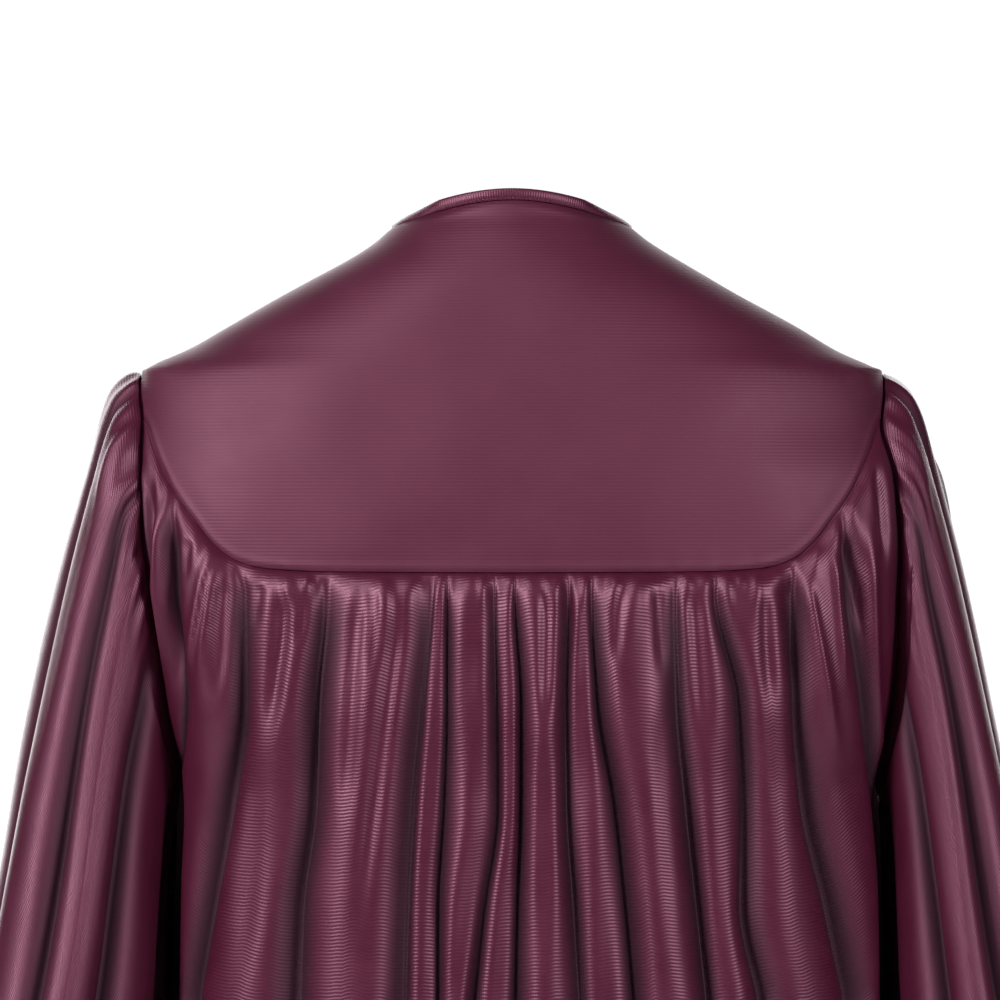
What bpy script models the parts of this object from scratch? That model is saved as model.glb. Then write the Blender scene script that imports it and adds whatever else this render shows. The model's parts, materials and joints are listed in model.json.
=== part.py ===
"""Choir robe as worn: smooth yoke, gathered back and fronts, bell sleeves, neck binding and front zip.

Metres, +Z up. The front faces -Y and the wearer's left side is +X. The origin lies midway between
the two side neck points. Heights are given as a drop below the origin. The body is a stack of
rounded sections, one for each drop, and every panel is a patch of that surface with folds on it.
"""
import math

import bmesh
import bpy
import numpy as np
from mathutils import Matrix

# Lengths of the garment
HEM_DROP = 1.300
CLOTH = 0.0012
SEAM_GAP = 0.0004
YOKE_SEAM_GAP = 0.0007
LEAST_TURN = 0.012
SLOPE_STEP = 1e-4

# The body's sections. Squareness 2 is an ellipse, and more is squarer.
SECTION_COLUMNS = ("drop", "half_width", "back_depth", "front_depth", "squareness", "centre_x")
SECTIONS = (
    (-0.0200, 0.0700, 0.0575, 0.0590, 2.00, 0.000),
    (0.0000, 0.0715, 0.0585, 0.0600, 2.00, 0.000),
    (0.0134, 0.0840, 0.0665, 0.0665, 2.05, 0.000),
    (0.0446, 0.1350, 0.0830, 0.0790, 2.20, 0.000),
    (0.0733, 0.1860, 0.0925, 0.0880, 2.30, 0.000),
    (0.0886, 0.2120, 0.0965, 0.0920, 2.35, 0.000),
    (0.0985, 0.2335, 0.0990, 0.0945, 2.40, 0.000),
    (0.1020, 0.2400, 0.1000, 0.0955, 2.40, 0.000),
    (0.1130, 0.2395, 0.1030, 0.0990, 2.45, 0.000),
    (0.1360, 0.2365, 0.1080, 0.1060, 2.50, 0.000),
    (0.1700, 0.2400, 0.1135, 0.1140, 2.60, -0.004),
    (0.2040, 0.2405, 0.1170, 0.1205, 2.60, -0.006),
    (0.2360, 0.2380, 0.1180, 0.1250, 2.60, -0.008),
    (0.3120, 0.2310, 0.1170, 0.1285, 2.60, -0.011),
    (0.3650, 0.2210, 0.1155, 0.1290, 2.60, -0.011),
    (0.4000, 0.2190, 0.1155, 0.1290, 2.60, -0.011),
    (0.5000, 0.2195, 0.1180, 0.1310, 2.60, -0.011),
    (0.7000, 0.2400, 0.1400, 0.1520, 2.50, -0.006),
    (1.0000, 0.2900, 0.1780, 0.1950, 2.40, -0.002),
    (1.3000, 0.3450, 0.2150, 0.2350, 2.30, 0.000),
)

# The armhole is an upright ellipse in side view
ARMHOLE_DROP = 0.2335
ARMHOLE_HALF_HEIGHT = 0.1315
ARMHOLE_HALF_DEPTH = 0.0660
JUNCTION_DROP = 0.1330
SHOULDER_SEAM_Y = -0.0120

# The neck edge of the yokes
NECK_SIDE_DROP = 0.0088
NECK_BACK_RISE = 0.0150
NECK_BACK_POWER = 1.5
NECK_FRONT_DROP = 0.1310
NECK_FRONT_POWER = 2.3

# The folded binding: its height, its two faces out from the neck edge, and its rounding
BINDING_HEIGHT = 0.0080
BINDING_BACK = -0.0018
BINDING_FRONT = 0.0010
BINDING_BEVEL = 0.0007
BINDING_RINGS = 49

# The zip in the centre front
ZIP_HALF_OPENING = 0.0033
ZIP_END_DROP = 0.800
ZIP_END_BLEND = 0.020
CHAIN_HALF_WIDTH = 0.0028
CHAIN_FRONT = 0.0002
CHAIN_BACK = -0.0016
CHAIN_TOP_DROP = 0.1460
CHAIN_SHORT = 0.0080
CHAIN_RINGS = 28

# The slider: a plate before and behind the cloth, joined above the chain, with a bridge in front.
# Its pieces are given by their width, their two faces out from the cloth and their low and high end.
SLIDER_DROP = 0.1450
SLIDER_SPAN = 0.0100
SLIDER_COLUMNS = ("name", "width", "inner", "outer", "low", "high")
SLIDER_PIECES = (
    ("zip_slider", 0.0084, 0.0006, 0.0022, -0.0055, 0.0055),
    ("back plate", 0.0084, -0.0036, -0.0023, -0.0055, 0.0055),
    ("post", 0.0022, -0.0030, 0.0012, 0.0012, 0.0048),
    ("bridge", 0.0016, 0.0014, 0.0056, -0.0042, 0.0030),
)
BRIDGE_HOLE = ("bridge hole", 0.0040, 0.0019, 0.0044, -0.0030, 0.0018)
PIVOT_OUT = 0.0034
PIVOT_UP = -0.0020
TAB_HALF_WIDTH = 0.0033
TAB_TOP = 0.0006
TAB_LOW = -0.0290
TAB_THICKNESS = 0.0010
TAB_ROUNDING = 0.0008
WINDOW_HALF_WIDTH = 0.0016
WINDOW_TOP = -0.0006
WINDOW_LOW = -0.0085
WINDOW_ROUNDING = 0.0004

# Yoke seams: how far down the seam lies at each distance from the centre
SEAM_COLUMNS = ("across", "drop")
BACK_SEAM = (
    (0.0000, 0.2305),
    (0.1200, 0.2298),
    (0.1500, 0.2284),
    (0.1650, 0.2262),
    (0.1750, 0.2225),
    (0.1850, 0.2160),
    (0.1990, 0.2000),
    (0.2125, 0.1820),
    (0.2200, 0.1690),
    (0.2290, 0.1490),
    (0.2345, 0.1330),
)
FRONT_SEAM = (
    (0.0000, 0.1900),
    (0.1000, 0.1890),
    (0.1500, 0.1860),
    (0.1900, 0.1780),
    (0.2125, 0.1650),
    (0.2290, 0.1480),
    (0.2345, 0.1330),
)

# Troughs between the back panel's folds, from the wearer's left to right. The first place is at the
# yoke seam, the next five are at FOLD_DROPS, all across from the centre.
FOLD_DROPS = (0.2423, 0.3124, 0.3761, 0.4399, 0.4973)
FOLD_PLACES = ("p1", "p2", "p3", "p4", "p5")
BACK_TROUGH_COLUMNS = ("seam",) + FOLD_PLACES
BACK_TROUGHS = (
    (0.2129, 0.2123, 0.2034, 0.2053, 0.2066, 0.2078),
    (0.1715, 0.1677, 0.1670, 0.1747, 0.1849, 0.1951),
    (0.1167, 0.1160, 0.1218, 0.1237, 0.1320, 0.1340),
    (0.0485, 0.0491, 0.0555, 0.0612, 0.0644, 0.0663),
    (0.0408, 0.0408, 0.0408, 0.0427, 0.0459, 0.0459),
    (0.0108, 0.0108, 0.0096, 0.0083, 0.0172, 0.0242),
    (-0.0013, -0.0013, -0.0051, -0.0051, -0.0032, -0.0019),
    (-0.0357, -0.0357, -0.0338, -0.0344, -0.0389, -0.0427),
    (-0.0491, -0.0491, -0.0529, -0.0638, -0.0708, -0.0759),
    (-0.1020, -0.1020, -0.1033, -0.1090, -0.1160, -0.1218),
    (-0.1262, -0.1262, -0.1415, -0.1441, -0.1428, -0.1543),
    (-0.1760, -0.1760, -0.1760, -0.1810, -0.1964, -0.2085),
    (-0.2078, -0.2091, -0.2180, -0.2231, -0.2270, -0.2301),
)

# The folds between those troughs and the panel's two edges: how high they stand near the seam and
# further down
FOLD_HEIGHT_COLUMNS = ("top_height", "low_height")
BACK_FOLDS = (
    (0.005, 0.004),
    (0.007, 0.010),
    (0.008, 0.011),
    (0.009, 0.013),
    (0.003, 0.004),
    (0.007, 0.008),
    (0.003, 0.005),
    (0.008, 0.010),
    (0.004, 0.005),
    (0.008, 0.012),
    (0.006, 0.007),
    (0.008, 0.010),
    (0.008, 0.011),
    (0.006, 0.004),
)

# How far the folds may stand out of the sides, where the sleeves hang beside them
ROOM_COLUMNS = ("drop", "room")
SIDE_ROOM = (
    (0.100, 0.000),
    (0.365, 0.000),
    (0.430, 0.003),
    (0.700, 0.006),
    (0.800, 0.030),
    (1.300, 0.040),
)

# Troughs between one front's folds, from the side to the centre, as a share of the way across
FRONT_TROUGH_COLUMNS = ("top_place", "low_place")
FRONT_TROUGHS = (
    (0.10, 0.12),
    (0.22, 0.22),
    (0.32, 0.35),
    (0.45, 0.45),
    (0.55, 0.57),
    (0.67, 0.67),
    (0.78, 0.80),
    (0.89, 0.90),
)

# The folds between those troughs and the front's two edges
FRONT_FOLDS = (
    (0.005, 0.009),
    (0.004, 0.006),
    (0.006, 0.011),
    (0.004, 0.006),
    (0.006, 0.011),
    (0.004, 0.006),
    (0.005, 0.010),
    (0.004, 0.007),
    (0.005, 0.009),
)
FRONT_UNEVENNESS = 0.018
FRONT_STRAIGHT_DROP = 0.450
HEM_GROWTH = 1.0
BACK_SWELL = 0.004
FRONT_SWELL = 0.003

# How folds grow down a panel, as shares of its height: quickly under the seam, then slowly. A
# fold's roundness is 2 for a round dome, and more for a flatter one.
UNDER_SEAM_SHARE = 0.012
FURTHER_START = 0.010
FURTHER_LENGTH = 0.080
FOLD_ROUNDNESS = 2.6
TOP_BLEND_SHARE = 0.05
FOLD_START_ABOVE = 0.020

# Sleeves. The outer line runs from the shoulder tip to the cuff, and the inner line from the
# underarm to the cuff, clear of the body's side by the given distance.
SLEEVE_COLUMNS = ("along", "outer_x", "outer_drop", "inner_drop", "inner_clear", "half_depth", "centre_y")
SLEEVE_SECTIONS = (
    (0.00, 0.2405, 0.1020, 0.3650, 0.0010, 0.0660, 0.000),
    (0.04, 0.2560, 0.1190, 0.3740, 0.0050, 0.0720, 0.000),
    (0.12, 0.2680, 0.1600, 0.3900, 0.0110, 0.0790, -0.002),
    (0.25, 0.2850, 0.2300, 0.4200, 0.0150, 0.0860, -0.004),
    (0.45, 0.3060, 0.3350, 0.4800, 0.0170, 0.0980, -0.008),
    (0.65, 0.3270, 0.4500, 0.5500, 0.0180, 0.1150, -0.012),
    (0.85, 0.3520, 0.5800, 0.6350, 0.0230, 0.1350, -0.016),
    (1.00, 0.3720, 0.6950, 0.7050, 0.0280, 0.1500, -0.018),
)
SLEEVE_SQUARENESS = 2.2
SLEEVE_CLEAR = 0.006

# The sleeve's front hangs inwards before the body's side, clear of the front's folds
INWARD_HANG = 0.045
HANG_SHARE = 0.30
FRONT_CLEAR = 0.024
FRONT_CLEAR_Y = 0.045
FRONT_CLEAR_SHARE = 0.08

SLEEVE_CLEAR_FROM = 0.100
SLEEVE_CLEAR_SHARE = 0.05
RIM_FADE_SHARE = 0.20
SLEEVE_TURN_SHARE = 0.50

# How a sleeve's folds grow down it, as shares of its length
CAP_SHARE = 0.025
SLEEVE_FURTHER_START = 0.05
SLEEVE_FURTHER_LENGTH = 0.45

# Folds of a sleeve, round it from the outer line by way of the back. A turn is where the fold
# starts, in degrees, and it ends where the next one starts.
SLEEVE_FOLD_COLUMNS = ("top_turn", "low_turn", "top_height", "low_height")
SLEEVE_FOLDS = (
    (22, 26, 0.006, 0.012),
    (66, 70, 0.006, 0.013),
    (110, 108, 0.005, 0.010),
    (156, 150, 0.002, 0.004),
    (200, 204, 0.005, 0.010),
    (246, 250, 0.006, 0.012),
    (290, 294, 0.005, 0.012),
    (334, 336, 0.006, 0.011),
)

# Rows of points down each panel, as a share of the way from its seam to its hem
PANEL_ROWS = (
    0.0, 0.005, 0.015, 0.035, 0.07, 0.11, 0.15, 0.18,
    0.194, 0.1988, 0.26, 0.38, 0.545, 0.57, 0.78, 1.0,
)
SLEEVE_ROWS = (0.0, 0.012, 0.03, 0.06, 0.11, 0.18, 0.28, 0.42, 0.58, 0.78, 1.0)
BACK_POINTS_PER_FOLD = 6
FRONT_POINTS_PER_FOLD = 4
SLEEVE_POINTS_PER_FOLD = 4
YOKE_ROWS = 8
BACK_RIM_POINTS = 6
FRONT_RIM_POINTS = 5

# Colours of the cloth and the zip
MAROON = (0.095, 0.012, 0.036)
YOKE_MAROON = (0.110, 0.018, 0.045)
CHAIN_MAROON = (0.050, 0.010, 0.020)
METAL_MAROON = (0.230, 0.125, 0.135)


def column(rows, names, name):
    """One named column of a table, as an array."""
    return np.array([row[names.index(name)] for row in rows], dtype=float)


def curve(places, values, at):
    """A smooth curve through a table's points, which never swings past them."""
    places = np.asarray(places, dtype=float)
    values = np.asarray(values, dtype=float)
    step = np.diff(places)
    rate = np.diff(values) / step
    slope = np.zeros(len(places))
    both = rate[:-1] + rate[1:]
    same = rate[:-1] * rate[1:] > 0
    slope[1:-1] = np.where(same, 2 * rate[:-1] * rate[1:] / np.where(same, both, 1.0), 0.0)
    slope[0] = rate[0]
    slope[-1] = rate[-1]
    at = np.asarray(at, dtype=float)
    i = np.clip(np.searchsorted(places, at, side="right") - 1, 0, len(step) - 1)
    t = np.clip((at - places[i]) / step[i], 0.0, 1.0)
    start = values[i] * (2 * t**3 - 3 * t**2 + 1) + slope[i] * step[i] * (t**3 - 2 * t**2 + t)
    end = values[i + 1] * (3 * t**2 - 2 * t**3) + slope[i + 1] * step[i] * (t**3 - t**2)
    return start + end


def section(name, drop):
    """A named size of the body's section at a drop."""
    return curve(column(SECTIONS, SECTION_COLUMNS, "drop"), column(SECTIONS, SECTION_COLUMNS, name), drop)


def armhole_depth(drop):
    """Half the armhole's depth from front to back at a drop, 0 above and below it."""
    level = (np.asarray(drop) - ARMHOLE_DROP) / ARMHOLE_HALF_HEIGHT
    return ARMHOLE_HALF_DEPTH * np.sqrt(np.clip(1 - level**2, 0.0, 1.0))


def body_axes(drop, at_back):
    """Half width, depth and squareness of the section, widened so that it meets the armhole's edge."""
    depth = np.where(at_back, section("back_depth", drop), section("front_depth", drop))
    square = section("squareness", drop)
    share = 1 - (armhole_depth(drop) / depth) ** square
    return section("half_width", drop) / share ** (1 / square), depth, square


def body(turn, drop):
    """Points on the body, at a turn from the centre back towards the wearer's left and a drop."""
    turn, drop = np.broadcast_arrays(np.asarray(turn, dtype=float), np.asarray(drop, dtype=float))
    width, depth, square = body_axes(drop, np.cos(turn) >= 0)
    reach = (np.abs(np.sin(turn)) / width) ** square + (np.abs(np.cos(turn)) / depth) ** square
    reach = reach ** (-1 / square)
    return np.stack([section("centre_x", drop) + reach * np.sin(turn), reach * np.cos(turn), -drop], axis=-1)


def body_outward(turn, drop):
    """Level unit vectors that point straight out of the body."""
    turn = np.asarray(turn)
    along = body(turn + SLOPE_STEP, drop) - body(turn - SLOPE_STEP, drop)
    out = np.stack([-along[..., 1], along[..., 0], np.zeros_like(along[..., 0])], axis=-1)
    return out / np.linalg.norm(out, axis=-1, keepdims=True)


def turn_at(across, drop, at_back):
    """The turn at which the body's surface is this far across from the middle plane."""
    width, depth, square = body_axes(drop, at_back)
    offset = np.asarray(across) - section("centre_x", drop)
    share = np.clip(np.abs(offset) / width, 0.0, 1.0)
    y = depth * (1 - share**square) ** (1 / square)
    return np.arctan2(offset, np.where(at_back, y, -y))


def front_turn(across, drop, side):
    """The turn of a place on the front, counted from the back by way of its own side."""
    turn = turn_at(across, drop, False)
    return np.where(turn * side < 0, turn + side * 2 * math.pi, turn)


def edge_turn(drop, at_back, side):
    """The turn of a panel's side edge: the armhole's rim, and below it the side seam."""
    rim = armhole_depth(drop)
    y = np.maximum(rim, SEAM_GAP / 2)
    return side * np.arctan2(section("half_width", drop), np.where(at_back, y, -y))


def neck_drop(turn):
    """The drop of the yokes' neck edge: round at the back, a V at the front."""
    turn = np.abs(turn)
    back = NECK_SIDE_DROP - NECK_BACK_RISE * np.clip(np.cos(turn), 0, 1) ** NECK_BACK_POWER
    front = np.clip((turn - math.pi / 2) / (math.pi / 2), 0, 1) ** NECK_FRONT_POWER
    return back + NECK_FRONT_DROP * front


def below_seam(seam, across):
    """Extra drop that keeps a panel's top edge the seam gap away, measured square to the seam."""
    across = np.abs(across)
    rise = seam_drop(seam, across + SLOPE_STEP) - seam_drop(seam, across - SLOPE_STEP)
    slope = rise / (2 * SLOPE_STEP)
    return YOKE_SEAM_GAP * np.sqrt(1 + slope**2)


def seam_drop(seam, across):
    """How far down a yoke seam lies at a distance from the middle plane."""
    return curve(column(seam, SEAM_COLUMNS, "across"), column(seam, SEAM_COLUMNS, "drop"), np.abs(across))


def armhole_line(start_y, end_y, count):
    """Turn and drop along the top of the armhole's rim, from one depth to another, on the left."""
    lean = np.linspace(math.asin(start_y / ARMHOLE_HALF_DEPTH), math.asin(end_y / ARMHOLE_HALF_DEPTH), count)
    drop = ARMHOLE_DROP - ARMHOLE_HALF_HEIGHT * np.cos(lean)
    return np.arctan2(section("half_width", drop), ARMHOLE_HALF_DEPTH * np.sin(lean)), drop


def junction_y():
    """Distance of the point where yoke, panel and sleeve meet from the shoulder line."""
    return float(armhole_depth(JUNCTION_DROP))


def add_sheet(name, points, finish, closed=False):
    """A cloth wall: a grid of outer points, thickened inwards.

    The columns run to the left seen from outside, so that the faces point out.
    """
    rows, cols = points.shape[:2]
    i, j = np.meshgrid(np.arange(rows - 1), np.arange(cols if closed else cols - 1), indexing="ij")
    right = (j + 1) % cols
    faces = np.stack([i * cols + j, i * cols + right, (i + 1) * cols + right, (i + 1) * cols + j], axis=-1)
    mesh = bpy.data.meshes.new(name)
    mesh.from_pydata(points.reshape(-1, 3).tolist(), [], faces.reshape(-1, 4).tolist())
    mesh.shade_smooth()
    mesh.materials.append(finish)
    piece = bpy.data.objects.new(name, mesh)
    wall = piece.modifiers.new("wall", "SOLIDIFY")
    wall.thickness = CLOTH
    wall.offset = -1
    bpy.data.collections["choir robe"].objects.link(piece)
    return piece


def fold_heights(places, crest):
    """Height of the folds over the surface.

    places counts folds, and is whole in a trough. A fold is a dome: its crest height, which has a
    row for each row of points and a column for each fold, times 1 less the distance from its middle
    in half folds, to the power of the roundness.
    """
    fold = np.clip(np.floor(places).astype(int), 0, crest.shape[-1] - 1)
    away = np.abs(2 * (places - fold) - 1)
    return crest[:, fold] * (1 - away**FOLD_ROUNDNESS)


def crest_heights(folds, share):
    """Crest height of each fold at each row, and how far the folds have grown below the seam."""
    under, further = fold_growth(share)
    top = column(folds, FOLD_HEIGHT_COLUMNS, "top_height")
    low = column(folds, FOLD_HEIGHT_COLUMNS, "low_height") * (1 + HEM_GROWTH * share[:, None])
    return (top * (1 - further) + low * further) * under, under


def fold_growth(share):
    """How far folds have grown at each row: quick under the seam, and slow down to the hem."""
    under_seam = 1 - np.exp(-share / UNDER_SEAM_SHARE)
    further = np.clip((share - FURTHER_START) / FURTHER_LENGTH, 0.0, 1.0)
    return under_seam[:, None], (further**2 * (3 - 2 * further))[:, None]


def seam_columns(edges, per_fold):
    """Places of a panel's columns, counted in folds, and how far across each meets the yoke seam."""
    count = len(edges) - 1
    places = np.linspace(0, count, count * per_fold + 1)
    return places, np.interp(places, np.arange(count + 1), edges)


def back_columns():
    """The back's columns, from the wearer's left to right."""
    troughs = column(BACK_TROUGHS, BACK_TROUGH_COLUMNS, "seam")
    ends = [[rim_point(JUNCTION_DROP, side)[0]] for side in (1, -1)]
    return seam_columns(np.concatenate([ends[0], troughs, ends[1]]), BACK_POINTS_PER_FOLD)


def front_columns(side):
    """One front's columns, from its side edge to the zip."""
    share = front_places(side, "top_place", 1)
    edges = rim_point(JUNCTION_DROP, side)[0] * (1 - share) + side * ZIP_HALF_OPENING * share
    return seam_columns(edges, FRONT_POINTS_PER_FOLD)


def top_edge(seam, places, top_x):
    """The drop of each column's top, just below the yoke, whose seam has a corner at every second one."""
    corner_drops = seam_drop(seam, top_x[::2])
    return np.interp(places, places[::2], corner_drops) + below_seam(seam, top_x)


def front_places(side, name, sign):
    """Places of one front's troughs and edges, as a share of the way across, unevenly spaced."""
    troughs = column(FRONT_TROUGHS, FRONT_TROUGH_COLUMNS, name)
    uneven = FRONT_UNEVENNESS * np.sin(2.4 * np.arange(len(troughs)) + side)
    return np.concatenate([[0.0], troughs + sign * uneven, [1.0]])


def back_panel():
    """Grid of the gathered back, from the wearer's left to right and from the seam to the hem."""
    share = np.array(PANEL_ROWS)
    places, top_x = back_columns()
    count = len(BACK_FOLDS)
    top_drop = top_edge(BACK_SEAM, places, top_x)
    drop = top_drop + (HEM_DROP - top_drop) * share[:, None]
    level = np.clip(drop, None, FOLD_DROPS[-1])
    seams = column(BACK_TROUGHS, BACK_TROUGH_COLUMNS, "seam")
    below = np.stack([column(BACK_TROUGHS, BACK_TROUGH_COLUMNS, name) for name in FOLD_PLACES], axis=-1)
    lines = [edge_turn(drop, True, 1)]
    for seam, across in zip(seams, below):
        start = seam_drop(BACK_SEAM, seam)
        known = np.concatenate([[start - FOLD_START_ABOVE, start], FOLD_DROPS])
        line = curve(known, np.concatenate([[seam, seam], across]), drop)
        lines.append(turn_at(line, level, True))
    lines.append(edge_turn(drop, True, -1))
    turn = between_lines(in_order(np.stack(lines)), places)
    wanted = turn_at(top_x, top_drop, True)
    turn = turn + (wanted - turn[0]) * np.clip(1 - share / TOP_BLEND_SHARE, 0, 1)[:, None] ** 2
    crest, under = crest_heights(BACK_FOLDS, share)
    edge_fade = np.minimum(np.minimum(places, count - places), 1.0)
    heights = fold_heights(places, crest) + BACK_SWELL * under * edge_fade
    return beside_sleeves(body(turn, drop) + heights[..., None] * body_outward(turn, drop))[:, ::-1]


def rim_point(drop, side):
    """Place of the armhole's rim at a drop, as x, y and z."""
    across = side * section("half_width", drop) + section("centre_x", drop)
    return np.array([across, armhole_depth(drop), -drop])


def in_order(lines):
    """Fold lines with at least a small turn between neighbours, from both edges inwards."""
    middle = len(lines) // 2
    for i in range(1, middle):
        lines[i] = np.minimum(lines[i], lines[i - 1] - LEAST_TURN)
        lines[-1 - i] = np.maximum(lines[-1 - i], lines[-i] + LEAST_TURN)
    return lines


def beside_sleeves(points):
    """Panel points kept on the body's side of the armholes, and clear of the sleeves below them."""
    drop = -points[..., 2]
    room = curve(column(SIDE_ROOM, ROOM_COLUMNS, "drop"), column(SIDE_ROOM, ROOM_COLUMNS, "room"), drop)
    reach = section("half_width", drop) + room
    middle = section("centre_x", drop)
    points[..., 0] = np.clip(points[..., 0], middle - reach, middle + reach)
    return points


def between_lines(lines, places):
    """Turns at places between the fold lines, one column for each place."""
    first = np.clip(np.floor(places).astype(int), 0, len(lines) - 2)
    part = places - first
    columns = np.arange(len(places))
    return lines[first, :, columns].T * (1 - part) + lines[first + 1, :, columns].T * part


def front_panel(side):
    """Grid of one gathered front, from its side edge to the zip and from the seam to the hem."""
    share = np.array(PANEL_ROWS)
    places, top_x = front_columns(side)
    count = len(FRONT_FOLDS)
    top_drop = top_edge(FRONT_SEAM, places, top_x)
    drop = top_drop + (HEM_DROP - top_drop) * share[:, None]
    sewn = np.clip((drop - ZIP_END_DROP) / ZIP_END_BLEND, 0.0, 1.0)
    opening = ZIP_HALF_OPENING * (1 - sewn) + SEAM_GAP / 2 * sewn
    low_share = np.interp(places, np.arange(count + 1), front_places(side, "low_place", -1))
    level = np.clip(drop, FRONT_STRAIGHT_DROP, None)
    edge = edge_turn(level, False, side)
    turn = edge + (front_turn(side * opening, level, side) - edge) * low_share
    down = np.clip((drop - top_drop) / (FRONT_STRAIGHT_DROP - top_drop), 0.0, 1.0)
    low_x = body(turn, level)[..., 0]
    straight = front_turn(top_x + (low_x - top_x) * down, drop, side)
    least = edge_turn(drop, False, 1) + LEAST_TURN * places
    straight = side * np.maximum(side * straight, least)
    turn = np.where(drop < FRONT_STRAIGHT_DROP, straight, turn)
    crest, under = crest_heights(FRONT_FOLDS, share)
    edge_fade = np.minimum(np.minimum(places, count - places), 1.0)
    heights = fold_heights(places, crest) + FRONT_SWELL * under * edge_fade
    points = beside_sleeves(body(turn, drop) + heights[..., None] * body_outward(turn, drop))
    return points if side > 0 else points[:, ::-1]


def back_yoke():
    """Grid of the smooth back yoke, from neck edge to seam, between the two shoulder seams."""
    rim_turn, rim_drop = armhole_line(SHOULDER_SEAM_Y, junction_y(), BACK_RIM_POINTS)
    across = back_columns()[1][2:-2:2]
    low_drop = seam_drop(BACK_SEAM, across)
    seam_turn = turn_at(across, low_drop, True)
    turn = np.concatenate([rim_turn, seam_turn, -rim_turn[::-1]])
    drop = np.concatenate([rim_drop, low_drop, rim_drop[::-1]]) - SEAM_GAP / 2
    neck = np.arctan2(section("half_width", NECK_SIDE_DROP), SHOULDER_SEAM_Y)
    inner = np.linspace(neck, -neck, len(turn))
    return yoke_rows(inner, turn, drop)[:, ::-1]


def yoke_rows(inner, turn, drop):
    """Rows from the neck edge to the outer edge, a little closer where the cloth bends over."""
    share = np.linspace(0.0, 1.0, YOKE_ROWS)[:, None]
    return body(inner + (turn - inner) * share, neck_drop(inner) + (drop - neck_drop(inner)) * share)


def front_yoke(side):
    """Grid of one front yoke, from the shoulder seam to the zip."""
    rim_turn, rim_drop = armhole_line(SHOULDER_SEAM_Y - SEAM_GAP, -junction_y(), FRONT_RIM_POINTS)
    across = front_columns(side)[1][2::2]
    low_drop = seam_drop(FRONT_SEAM, across)
    seam_turn = front_turn(across, low_drop, side)
    turn = np.concatenate([side * rim_turn, seam_turn])
    drop = np.concatenate([rim_drop, low_drop]) - SEAM_GAP / 2
    neck = np.arctan2(section("half_width", NECK_SIDE_DROP), SHOULDER_SEAM_Y - SEAM_GAP)
    inner = np.linspace(side * neck, neck_end_turn(side), len(turn))
    points = yoke_rows(inner, turn, drop)
    points[:, -1, 0] = side * ZIP_HALF_OPENING
    return points if side > 0 else points[:, ::-1]


def neck_end_turn(side):
    """The turn at which the neck edge meets the zip."""
    return float(front_turn(side * ZIP_HALF_OPENING, neck_drop(math.pi), side))


def binding_rows():
    """Rings of the folded binding, round the neck edge from one side of the zip to the other."""
    end = float(neck_end_turn(1))
    turn = end * np.sin(np.linspace(-1, 1, BINDING_RINGS) * math.pi / 2)
    path = body(turn, neck_drop(turn))
    along = np.gradient(path, axis=0)
    along = along / np.linalg.norm(along, axis=1, keepdims=True)
    down = body(turn, neck_drop(turn) + SLOPE_STEP) - body(turn, neck_drop(turn) - SLOPE_STEP)
    out = np.cross(along, down)
    out = out / np.linalg.norm(out, axis=1, keepdims=True)
    into_neck = np.cross(out, along)
    into_neck = into_neck * -np.sign(np.sum(into_neck * down, axis=1, keepdims=True))
    low = SEAM_GAP
    high = BINDING_HEIGHT
    above = low + BINDING_BEVEL
    below = high - BINDING_BEVEL
    rise = np.array([low, low, above, below, high, high, below, above])
    back = BINDING_BACK
    front = BINDING_FRONT
    inner = back + BINDING_BEVEL
    outer = front - BINDING_BEVEL
    push = np.array([inner, outer, front, front, outer, inner, back, back])
    rings = path[:, None] + into_neck[:, None] * rise[:, None] + out[:, None] * push[:, None]
    side = np.sign(turn)[:, None]
    rings[..., 0] = np.where(side * rings[..., 0] < SEAM_GAP, side * SEAM_GAP, rings[..., 0])
    return rings


def add_tube(name, rings, finish):
    """A closed bar from rings of points, with flat ends."""
    rows, cols = rings.shape[:2]
    i, j = np.meshgrid(np.arange(rows - 1), np.arange(cols), indexing="ij")
    right = (j + 1) % cols
    faces = np.stack([i * cols + j, i * cols + right, (i + 1) * cols + right, (i + 1) * cols + j], axis=-1)
    mesh = bpy.data.meshes.new(name)
    ends = [list(range(cols))[::-1], list(range((rows - 1) * cols, rows * cols))]
    mesh.from_pydata(rings.reshape(-1, 3).tolist(), [], faces.reshape(-1, 4).tolist() + ends)
    cleaner = bmesh.new()
    cleaner.from_mesh(mesh)
    bmesh.ops.recalc_face_normals(cleaner, faces=cleaner.faces)
    cleaner.to_mesh(mesh)
    cleaner.free()
    mesh.materials.append(finish)
    piece = bpy.data.objects.new(name, mesh)
    bpy.data.collections["choir robe"].objects.link(piece)
    return piece


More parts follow.
